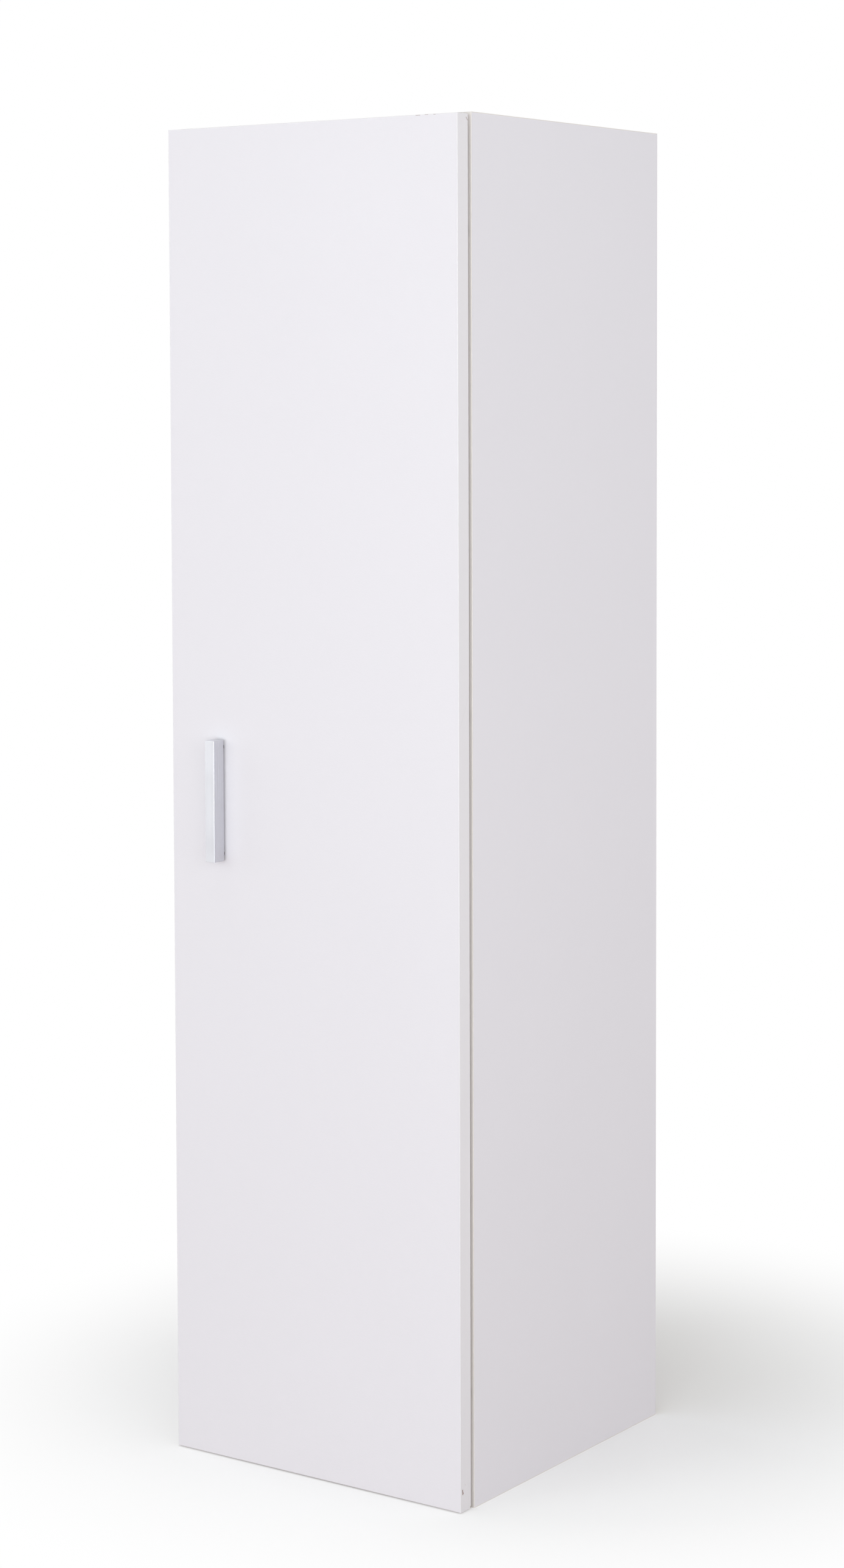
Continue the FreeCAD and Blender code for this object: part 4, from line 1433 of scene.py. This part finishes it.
@dataclass
class CupHinge:
    """One concealed hinge: a drawn cup in the door, and a pressed arm on a plate in the carcass."""

    level: HingeLevel
    press_ease: float = 0.0004
    wall: float = 0.0008
    flange: float = 0.0010
    flange_height: float = 0.0012
    drawn: float = 0.0016
    drawn_arc: int = 6
    cup_segments: int = 72
    floor_middle: float = 0.02
    rim_drop: float = 0.0001
    notch: float = 0.0055
    wing_inner: float = 0.0005
    wing_outer: float = -0.0125
    wing_corner: float = 0.0045
    wing_clear: float = 0.0004
    wing_points: int = 14
    eye_radius: float = 0.0028
    eye_bore: float = 0.00156
    eye_overlap: float = 0.75
    eye_segments: int = 40
    neck_metal: float = 0.0026
    neck_width: float = 0.0090
    neck_step: float = 0.0001
    neck_bend: float = 0.0021
    arm_front: float = 0.0520
    rib_height: float = 0.0030
    rib_metal: float = 0.0014
    arm_corner: float = 0.00045
    arm_arc: int = 5
    arm_nose: float = 0.64
    nose_rib: float = 0.06
    taper: float = 0.0100
    taper_rings: int = 14
    tail: float = 0.0004
    tail_draw: float = 0.03
    plate_foot: Pair = (0.0130, 0.0330)
    plate_half: float = 0.0085
    plate_corner: float = 0.0024

    def build(self) -> list[Piece]:
        """The cup, the arm and the plate.

        Returns:
            The three pieces.
        """
        cup, arm, plate = (self.level.node(part) for part in ("cup", "arm", "plate"))
        rows = (
            ("drawn_cup", self.cup(Box.of(cup)), Body.DOOR, cup),
            ("pressed_arm", self.arm(Box.of(arm)), Body.CARCASS, arm),
            ("pressed_plate", [self.plate(Box.of(plate))], Body.CARCASS, plate),
        )
        pieces = []
        for name, shells, body, node in rows:
            pieces.append(Piece(f"{self.level.value}_{name}", shells, body, Slot.NICKEL, node))
        return pieces

    def cup_radius(self, box: Box) -> float:
        """The bowl's outer radius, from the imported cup's box and its notched flange."""
        reach = box.size[0]
        return reach / 2 + self.notch ** 2 / (2.0 * reach) - self.flange

    def cup(self, box: Box) -> list[Shell]:
        """The cup: a drawn bowl, a rolled flange open towards the hinge edge, and two wings.

        Args:
            box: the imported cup's box.

        Returns:
            The four surfaces.
        """
        outer = self.cup_radius(box)
        back = box.high[1] - self.flange_height
        centre = np.array([box.low[0] + outer + self.flange, back, box.middle[2]])
        axes = (EX, EZ, EY)
        rim_radius = outer + (self.flange - self.wall) / 2
        opening = np.arcsin(self.notch / rim_radius)
        sweep = np.linspace(opening, FULL_TURN - opening, self.cup_segments)
        path = rim_radius * np.stack([np.cos(sweep), np.sin(sweep)], axis=-1)
        rim = strip(path, self.wall + self.flange, self.flange_height, self.press_ease)
        wing = slab(self.wing(outer, box.size[2] / 2), self.flange_height, self.press_ease)
        return [
            self.bowl(outer, back - box.low[1]).placed(centre, axes),
            rim.placed(centre + EY * self.flange_height / 2, axes),
            wing.placed(centre, axes),
            wing.placed(centre, TO_BACK),
        ]

    def bowl(self, outer: float, deep: float) -> Shell:
        """The bowl: up its outside, over the rim and down its inside, with quarter circles at the floor.

        Args:
            outer: outer radius.
            deep: depth below the door's back.

        Returns:
            The surface, its rim just below level 0.
        """
        middle = self.floor_middle * outer
        inner, floor = outer - self.wall, self.wall - deep
        inset, level = quarter_round(self.drawn, self.drawn_arc)
        outside = np.stack([outer - inset, level - deep], axis=-1)
        inset, level = quarter_round(self.drawn - self.wall, self.drawn_arc)
        inside = np.stack([inner - inset, floor + level], axis=-1)
        rim = [(outer, -self.rim_drop), (inner, -self.rim_drop)]
        rows = np.concatenate([[(middle, -deep)], outside, rim, inside[::-1], [(middle, floor)]])
        return turned(rows[:, 0], rows[:, 1], self.cup_segments)

    def wing(self, outer: float, half: float) -> Array:
        """A wing's outline: straight sides and rounded far corners, hollowed to clear the bowl's mouth.

        Args:
            outer: the bowl's outer radius.
            half: how far the wing reaches from the cup's centre.

        Returns:
            The outline about the cup's centre.
        """
        clear = outer - self.wall + self.wing_clear
        mouth = np.linspace(self.wing_outer, self.wing_inner, self.wing_points)
        hollow = np.stack([mouth, np.sqrt(clear ** 2 - mouth ** 2)], axis=-1)
        corners = [hollow[-1], (self.wing_inner, half), (self.wing_outer, half), hollow[0]]
        return np.concatenate([bent_path(corners, self.wing_corner), hollow[1:-1]])

    def arm(self, box: Box) -> list[Shell]:
        """The arm: a ribbed channel, a hooked neck and the eye round the pivot.

        Args:
            box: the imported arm's box.

        Returns:
            The three surfaces.
        """
        pivot = np.array([box.high[0] - self.eye_radius, box.low[1] + self.eye_radius, box.middle[2]])
        back = box.low[0] + self.rib_height + self.neck_metal
        front = box.high[1] - self.arm_front
        middle = back - self.neck_metal / 2
        hook = (pivot[0] - self.eye_radius * self.eye_overlap, pivot[1])
        path = bent_path([hook, (middle, pivot[1]), (middle, front + self.taper)], self.neck_bend)
        neck = strip(path, self.neck_metal - 2.0 * self.neck_step, self.neck_width, self.press_ease)
        half = self.neck_width / 2
        eye = bored_ring(self.eye_bore, self.eye_radius, (-half, half), self.press_ease, self.eye_segments)
        return [
            self.channel(box.size[2] / 2).placed((back, front, pivot[2]), (EZ, -EX, EY)),
            neck.placed((0.0, 0.0, pivot[2]), UNTURNED),
            eye.placed(pivot, UNTURNED),
        ]

    def channel(self, half: float) -> Shell:
        """The channel: a U section carried along the arm, narrower and with low ribs at the nose.

        A ring's width is nose + (1 - nose) s and its ribs stand s of their height, where s rises smoothly
        from a little to 1 over the taper. The last ring is drawn in, to ease the tail.

        Args:
            half: half of the arm's width.

        Returns:
            The surface; its own axes are across, up from the plate and back along the arm.
        """
        base = self.neck_metal
        tall = base + self.rib_height
        inner = half - self.rib_metal
        right = [(half, 0.0), (half, tall), (inner, tall), (inner, base)]
        left = [(-across, up) for across, up in reversed(right)]
        section = bent_path([(0.0, 0.0), *right, *left, (0.0, 0.0)], self.arm_corner, self.arm_arc)[:-1]
        nose = np.linspace(0.0, self.taper, self.taper_rings)
        length = np.concatenate([nose, [self.arm_front - self.tail, self.arm_front]])
        share = self.nose_rib + (1.0 - self.nose_rib) * smooth_step(length, 0.0, self.taper)
        spread = self.arm_nose + (1.0 - self.arm_nose) * share
        spread[-1] -= self.tail_draw
        across = section[:, 0] * spread[:, None]
        up = np.minimum(section[:, 1], base) + np.maximum(section[:, 1] - base, 0.0) * share[:, None]
        return tube(np.stack([across, up, np.broadcast_to(length[:, None], across.shape)], axis=-1))

    def plate(self, box: Box) -> Shell:
        """The plate: a pressed cross, a long bar under the arm and a foot for its two screws.

        Args:
            box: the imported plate's box.

        Returns:
            The surface.
        """
        long, tall = box.size[1], box.size[2] / 2
        near, far = self.plate_foot
        slim = self.plate_half
        start = ((near + far) / 2, -tall)
        right = [(far, -tall), (far, -slim), (long, -slim), (long, slim), (far, slim), (far, tall)]
        left = [(near, tall), (near, slim), (0.0, slim), (0.0, -slim), (near, -slim), (near, -tall)]
        outline = bent_path([start, *right, *left, start], self.plate_corner)[:-1]
        place = (box.high[0], box.low[1], box.middle[2])
        return slab(outline, box.size[0], self.press_ease).placed(place, TO_LEFT)


@dataclass
class HingeScrews:
    """The screws of all three hinges: in the cups' wings, the plates' feet and the arms."""

    wing_place: float = -0.0060
    wing_offset: float = 0.0240
    foot_setback: float = 0.0230
    foot_offset: float = 0.0160
    clamp_setback: float = 0.0120
    adjuster_setback: float = 0.0400
    wing_screw: Screw = Screw(
        head_radius=0.0036,
        head_height=0.0018,
        thread=Thread(radius=0.0019, length=0.0122),
    )
    foot_screw: Screw = Screw(
        head_radius=0.0038,
        head_height=0.0018,
        thread=Thread(radius=0.0023, length=0.0140),
    )
    clamp_screw: Screw = Screw(
        head_radius=0.0036,
        head_height=0.0022,
        thread=Thread(radius=0.0020, length=0.0055, pitch=0.0008, depth=0.00025),
    )
    adjuster: Screw = Screw(
        head_radius=0.0020,
        head_height=0.0008,
        thread=Thread(radius=0.0019, length=0.0047, pitch=0.0007, depth=0.0002),
        recess=Recess(Drive.SLOT, reach=0.8),
    )

    def build(self) -> list[Piece]:
        """Two screws in each cup and each plate, and a clamp screw and an adjuster in each arm.

        Returns:
            One piece for each kind of screw.
        """
        wing, foot, clamp, adjust = [], [], [], []
        for level in HingeLevel:
            hinge = CupHinge(level)
            cup, arm, plate = (Box.of(level.node(part)) for part in ("cup", "arm", "plate"))
            height = cup.middle[2]
            wing_x = cup.low[0] + hinge.cup_radius(cup) + hinge.flange + self.wing_place
            adjuster_x = plate.low[0] - self.adjuster.thread.length
            for up in (-1.0, 1.0):
                wing.append((wing_x, cup.high[1], height + up * self.wing_offset))
                foot.append((plate.low[0], plate.low[1] + self.foot_setback, height + up * self.foot_offset))
            clamp.append((arm.low[0] + hinge.rib_height, arm.high[1] - self.clamp_setback, height))
            adjust.append((adjuster_x, arm.high[1] - self.adjuster_setback, height))
        rows = (
            ("cup_wing_screws", self.wing_screw, wing, TO_BACK, Body.DOOR, "hinge_cup_screws"),
            ("plate_foot_screws", self.foot_screw, foot, TO_LEFT, Body.CARCASS, "hinge_plate_screws"),
            ("arm_clamp_screws", self.clamp_screw, clamp, TO_LEFT, Body.CARCASS, "hinge_arm_screws"),
            ("arm_adjusters", self.adjuster, adjust, TO_LEFT, Body.CARCASS, "hinge_adjusting_screws"),
        )
        pieces = []
        for name, screw, places, axes, body, node in rows:
            shell = screw.shell()
            shells = [shell.placed(place, axes) for place in places]
            pieces.append(Piece(name, shells, body, Slot.BRIGHT_STEEL, node))
        return pieces


@dataclass
class HingeInsides:
    """The pivot pins and the leaf springs inside the three cups."""

    spring_metal: float = 0.0006
    spring_bend: float = 0.0014
    spring_ease: float = 0.0002
    pin_ease: float = 0.0004
    pin_round: float = 0.3
    pin_segments: int = 40

    def build(self) -> list[Piece]:
        """A pin and a spring in each cup.

        Returns:
            One piece for the pins and one for the springs.
        """
        heights = [Box.of(level.node("cup")).middle[2] for level in HingeLevel]
        pins, springs = Box.of("hinge_pins"), Box.of("closing_springs")
        pin = self.pin(pins.size[0] / 2, pins.high[2] - max(heights))
        leaf = self.leaf(springs, 2.0 * (springs.high[2] - max(heights)))
        pin_shells = [pin.placed((*pins.middle[:2], height), UNTURNED) for height in heights]
        leaf_shells = [leaf.placed((0.0, 0.0, height), UNTURNED) for height in heights]
        return [
            Piece("pivot_pins", pin_shells, Body.DOOR, Slot.BRIGHT_STEEL, "hinge_pins"),
            Piece("leaf_springs", leaf_shells, Body.DOOR, Slot.SPRING, "closing_springs"),
        ]

    def pin(self, radius: float, half: float) -> Shell:
        """A pin with tumbled ends: a cylinder whose ends are pairs of cones, turned about its axis.

        Args:
            radius: its radius.
            half: half of its length.

        Returns:
            The surface, about its middle.
        """
        insets = self.pin_ease * np.array([1.0, self.pin_round, 0.0])
        levels = half - insets[::-1]
        radii = radius - np.concatenate([insets, insets[::-1]])
        return turned(radii, np.concatenate([-levels, levels[::-1]]), self.pin_segments)

    def leaf(self, box: Box, width: float) -> Shell:
        """A spring: a strip that lies on the cup's floor and turns up along its far wall.

        Args:
            box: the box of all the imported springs.
            width: the strip's width.

        Returns:
            The surface, its width about level 0.
        """
        far, floor = box.low[:2] + self.spring_metal / 2
        path = bent_path([(box.high[0], floor), (far, floor), (far, box.high[1])], self.spring_bend)
        return strip(path, self.spring_metal, width, self.spring_ease)


# Joints between the boards


@dataclass(frozen=True)
class CamBolt:
    """A bolt threaded into a side panel, with a collar in the board and a head for the cam to pull.

    Collar, neck and head are (radius, length); the face's rings are shares of the head's radius.
    """

    thread: Thread = Thread(radius=0.0024, length=0.0110, pitch=0.0016, depth=0.0006)
    collar: Pair = (0.0034, 0.0165)
    neck: Pair = (0.0020, 0.0060)
    head: Pair = (0.0033, 0.0030)
    ease: float = 0.0003
    recess: Recess = Recess()
    recess_depth: float = 0.0016
    face_span: Pair = (0.88, 0.04)
    face_rings: int = 14
    segments: int = 40

    def shell(self) -> Shell:
        """The bolt about its own third axis: thread below level 0, then collar, neck and head above it.

        Collar, neck and head are rings at (radius, level) with cut arrises; the head's end sinks by the
        depth of its recess.

        Returns:
            The surface.
        """
        ease = self.ease
        (wide, collar_end), (slim, neck), (broad, head) = self.collar, self.neck, self.head
        under = collar_end + neck
        end = under + head
        collar = [(wide - ease, 0.0), (wide, ease), (wide, collar_end - ease), (wide - ease, collar_end)]
        waist = [(slim, collar_end), (slim, under)]
        knob = [(broad - ease, under), (broad, under + ease), (broad, end - ease), (broad - ease, end)]
        across = np.linspace(*self.face_span, self.face_rings)
        sunk = self.recess_depth * self.recess.share(across, even_angles(self.segments))
        return self.thread.topped(np.array(collar + waist + knob), across * broad, end - sunk)


@dataclass
class BoardJoints:
    """The fluted dowels and the cam bolts between the side panels and the boards and rails."""

    dowel_radius: float = 0.0040
    dowel_from_wall: float = 0.0920
    dowel_in_board: float = 0.0190
    dowel_chamfer: float = 0.0010
    dowel_slope: float = 0.8
    flutes: int = 20
    flute_depth: float = 0.0003
    flute_points: int = 6
    bolt: CamBolt = CamBolt()
    bolt_from_wall: float = 0.0600
    rail_offset: float = 0.0200

    def build(self) -> list[Piece]:
        """Dowels and bolts in both ends of each board, and of each rail below and above its middle.

        Returns:
            One piece for the dowels and one for the bolts.
        """
        face = Box.of("right_side_panel").low[0]
        dowels, bolts = Box.of("wood_dowels"), Box.of("cam_bolts")
        dowel_places = self.places(dowels, self.dowel_radius, self.dowel_from_wall, -self.rail_offset)
        bolt_places = self.places(bolts, self.bolt.collar[0], self.bolt_from_wall, self.rail_offset)
        dowel, bolt = self.dowel(dowels.high[0] - face), self.bolt.shell()
        pegs, pulls = [], []
        for side in (-1.0, 1.0):
            axes = (EY, EZ, -side * EX)
            pegs += [dowel.placed((side * face, *place), axes) for place in dowel_places]
            pulls += [bolt.placed((side * face, *place), axes) for place in bolt_places]
        return [
            Piece("fluted_dowels", pegs, Body.CARCASS, Slot.BEECH, "wood_dowels"),
            Piece("threaded_cam_bolts", pulls, Body.CARCASS, Slot.BRIGHT_STEEL, "cam_bolts"),
        ]

    @staticmethod
    def places(box: Box, radius: float, from_wall: float, rail_offset: float) -> list[Pair]:
        """Where the fittings of one kind go in one side panel.

        Args:
            box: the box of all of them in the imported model.
            radius: a fitting's largest radius.
            from_wall: the setting of the rear ones in a board.
            rail_offset: how far above a rail's middle they are.

        Returns:
            A depth and a height for each.
        """
        boards = [Box.of(node).middle[2] for node in ("top_panel", "fixed_shelf", "bottom_panel")]
        rails = [Box.of(node).middle[2] for node in ("upper_hanging_rail", "lower_hanging_rail")]
        in_boards = [(y, z) for z in boards for y in (box.low[1] + radius, -from_wall)]
        return in_boards + [(box.high[1] - radius, z + rail_offset) for z in rails]

    def dowel(self, in_side: float) -> Shell:
        """A dowel with chamfered ends: its radius falls by depth (1 - cos(flutes * angle)) / 2.

        Args:
            in_side: how far it goes into the side panel.

        Returns:
            The surface, from the side panel at negative levels into the board.
        """
        segments = self.flutes * self.flute_points
        groove = self.flute_depth * (1.0 - np.cos(self.flutes * even_angles(segments))) / 2
        chamfer = self.dowel_chamfer
        radius = self.dowel_radius - chamfer * self.dowel_slope * np.array([1.0, 0.0, 0.0, 1.0])
        level = np.array([-in_side, chamfer - in_side, self.dowel_in_board - chamfer, self.dowel_in_board])
        return turned(radius[:, None] - groove, level, segments)


# The studio


def looking(place: Triple, back: Array, roll: float = 0.0) -> Matrix:
    """The matrix of a lamp or camera, whose own -Z looks away from back.

    Args:
        place: where it stands.
        back: unit vector against its view.
        roll: turn about its view, in radians, which turns the picture counterclockwise.

    Returns:
        The matrix, with its own X level before the roll.
    """
    right = np.cross(EZ, back)
    right /= np.linalg.norm(right)
    up = np.cross(back, right)
    turned_right = np.cos(roll) * right - np.sin(roll) * up
    turned_up = np.sin(roll) * right + np.cos(roll) * up
    matrix = np.eye(4)
    matrix[:3] = np.column_stack([turned_right, turned_up, back, place])
    return Matrix(matrix.tolist())


@dataclass(frozen=True)
class Softbox:
    """A rectangular studio lamp, turned towards a point on the cabinet."""

    name: str
    place: Triple
    width: float
    height: float
    watts: float
    tone: Colour = WHITE
    target: Triple = (0.0, -0.2, -0.5)

    def build(self) -> None:
        """Hangs the lamp."""
        lamp = bpy.data.lights.new(self.name, "AREA")
        lamp.shape = "RECTANGLE"
        lamp.size = self.width
        lamp.size_y = self.height
        lamp.energy = self.watts
        lamp.color = self.tone
        holder = bpy.data.objects.new(self.name, lamp)
        back = np.subtract(self.place, self.target)
        holder.matrix_world = looking(self.place, back / np.linalg.norm(back))
        bpy.context.scene.collection.objects.link(holder)


@dataclass(frozen=True)
class PhotoCamera:
    """The photograph's camera, fitted to the cabinet's corners in it."""

    name: str = "photo_camera"
    image_height: int = 2576
    focal_pixels: float = 5252.0
    axis_row: float = 950.0
    eye: Triple = (1.6789, -2.5496, -0.1705)
    yaw: float = np.radians(35.03)
    pitch: float = np.radians(3.53)
    roll: float = np.radians(0.18)
    film: float = 36.0

    def build(self) -> None:
        """Makes the scene's camera; its shift puts the optical axis on its row of the image."""
        data = bpy.data.cameras.new(self.name)
        data.sensor_width = self.film
        data.lens = self.film * self.focal_pixels / self.image_height
        data.shift_y = (self.axis_row - self.image_height / 2) / self.image_height
        level = np.cos(self.pitch)
        back = np.array([np.sin(self.yaw) * level, -np.cos(self.yaw) * level, np.sin(self.pitch)])
        camera = bpy.data.objects.new(self.name, data)
        camera.matrix_world = looking(self.eye, back, self.roll)
        bpy.context.scene.collection.objects.link(camera)
        bpy.context.scene.camera = camera


@dataclass
class Studio:
    """Pale floor, white surround, soft lamps and the camera."""

    floor_level: float
    floor_reach: float = 9.0
    floor_tone: Colour = (0.97, 0.965, 0.96)
    floor_bounce: Colour = (0.41, 0.31, 0.285)
    floor_roughness: float = 0.9
    floor_specular: float = 0.1
    fade: Pair = (0.16, 0.62)
    surround: float = 0.45
    lamps: tuple[Softbox, ...] = (
        Softbox("key_softbox", (-1.9, -4.0, 0.7), 1.8, 2.6, 24.8, COOL_WHITE),
        Softbox("low_softbox", (0.5, -3.4, -0.8), 3.4, 0.6, 20.5, (0.94, 0.985, 1.0)),
        Softbox("fill_softbox", (1.9, -3.2, 0.1), 3.0, 2.4, 37.0, COOL_WHITE),
        Softbox("side_softbox", (2.6, -0.5, 0.0), 3.0, 2.2, 24.8, (0.95, 0.985, 1.0), (0.0, -0.2, -0.15)),
        Softbox("left_softbox", (-3.2, -0.7, 0.2), 2.9, 2.6, 27.0, COOL_WHITE),
        Softbox("top_softbox", (0.0, -0.6, 3.2), 2.8, 2.8, 20.0),
        Softbox("back_softbox", (-0.9, 3.2, 0.4), 2.4, 2.0, 12.0),
    )

    def build(self) -> None:
        """Makes all of it."""
        bpy.context.scene.view_settings.view_transform = "Standard"
        self.build_floor()
        self.build_surround()
        for lamp in self.lamps:
            lamp.build()
        PhotoCamera().build()

    def build_floor(self) -> None:
        """A wide level sheet under the cabinet."""
        reach, level = self.floor_reach, self.floor_level
        corners = [(reach * x, reach * y, level) for x, y in ((-1, -1), (1, -1), (1, 1), (-1, 1))]
        mesh = bpy.data.meshes.new("studio_floor")
        mesh.from_pydata(corners, [], [(0, 1, 2, 3)])
        mesh.materials.append(self.floor_material())
        floor = bpy.data.objects.new("studio_floor", mesh)
        bpy.context.scene.collection.objects.link(floor)
        floor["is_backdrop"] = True

    def floor_material(self) -> bpy.types.Material:
        """A pale finish that throws less light than it shows, and whose far part shows plain white.

        Returns:
            The material.
        """
        material = bpy.data.materials.new("finish_studio_floor")
        graph = Graph(material)
        seen = graph.seen_directly()
        shown = graph.mixed(seen, self.floor_bounce, self.floor_tone)
        graph.shade(Base_Color=shown, Roughness=self.floor_roughness, Specular_IOR_Level=self.floor_specular)
        level_place = graph.stretched((1.0, 1.0, 0.0))
        distance = graph.add("ShaderNodeVectorMath", {0: level_place}, operation="LENGTH").outputs["Value"]
        share = graph.math("MULTIPLY", graph.span(distance, *self.fade), seen)
        glow = graph.add("ShaderNodeEmission", {"Color": WHITE, "Strength": 1.0}).outputs[0]
        both = graph.add("ShaderNodeMixShader", {0: share, 1: graph.shader.outputs[0], 2: glow}).outputs[0]
        graph.feed(graph.tree.nodes["Material Output"].inputs["Surface"], both)
        return material

    def build_surround(self) -> None:
        """A surround that looks white and lights the object softly."""
        world = bpy.data.worlds.new("white_surround")
        bpy.context.scene.world = world
        graph = Graph(world, "Background")
        strength = graph.span(graph.seen_directly(), 0.0, 1.0, self.surround, 1.0)
        graph.shade(Color=WHITE, Strength=strength)


def main() -> None:
    """Builds the studio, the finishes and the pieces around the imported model."""
    logging.basicConfig(level=logging.INFO, format="%(name)s: %(message)s")
    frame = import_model()
    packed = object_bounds()
    Studio(floor_level=packed[0].z).build()
    PackedNodes(frame["nodes"], frame["record"]).dress()
    assemblies = (
        DoorBands(),
        BarHandle(),
        DoorBumpers(),
        ShelfBrackets("upper_shelf_pins", "upper_shelf_brackets"),
        ShelfBrackets("lower_shelf_pins", "lower_shelf_brackets"),
        *(CupHinge(level) for level in HingeLevel),
        HingeScrews(),
        HingeInsides(),
        BoardJoints(),
    )
    for assembly in assemblies:
        for piece in assembly.build():
            piece.show()


if __name__ == "__main__":
    main()
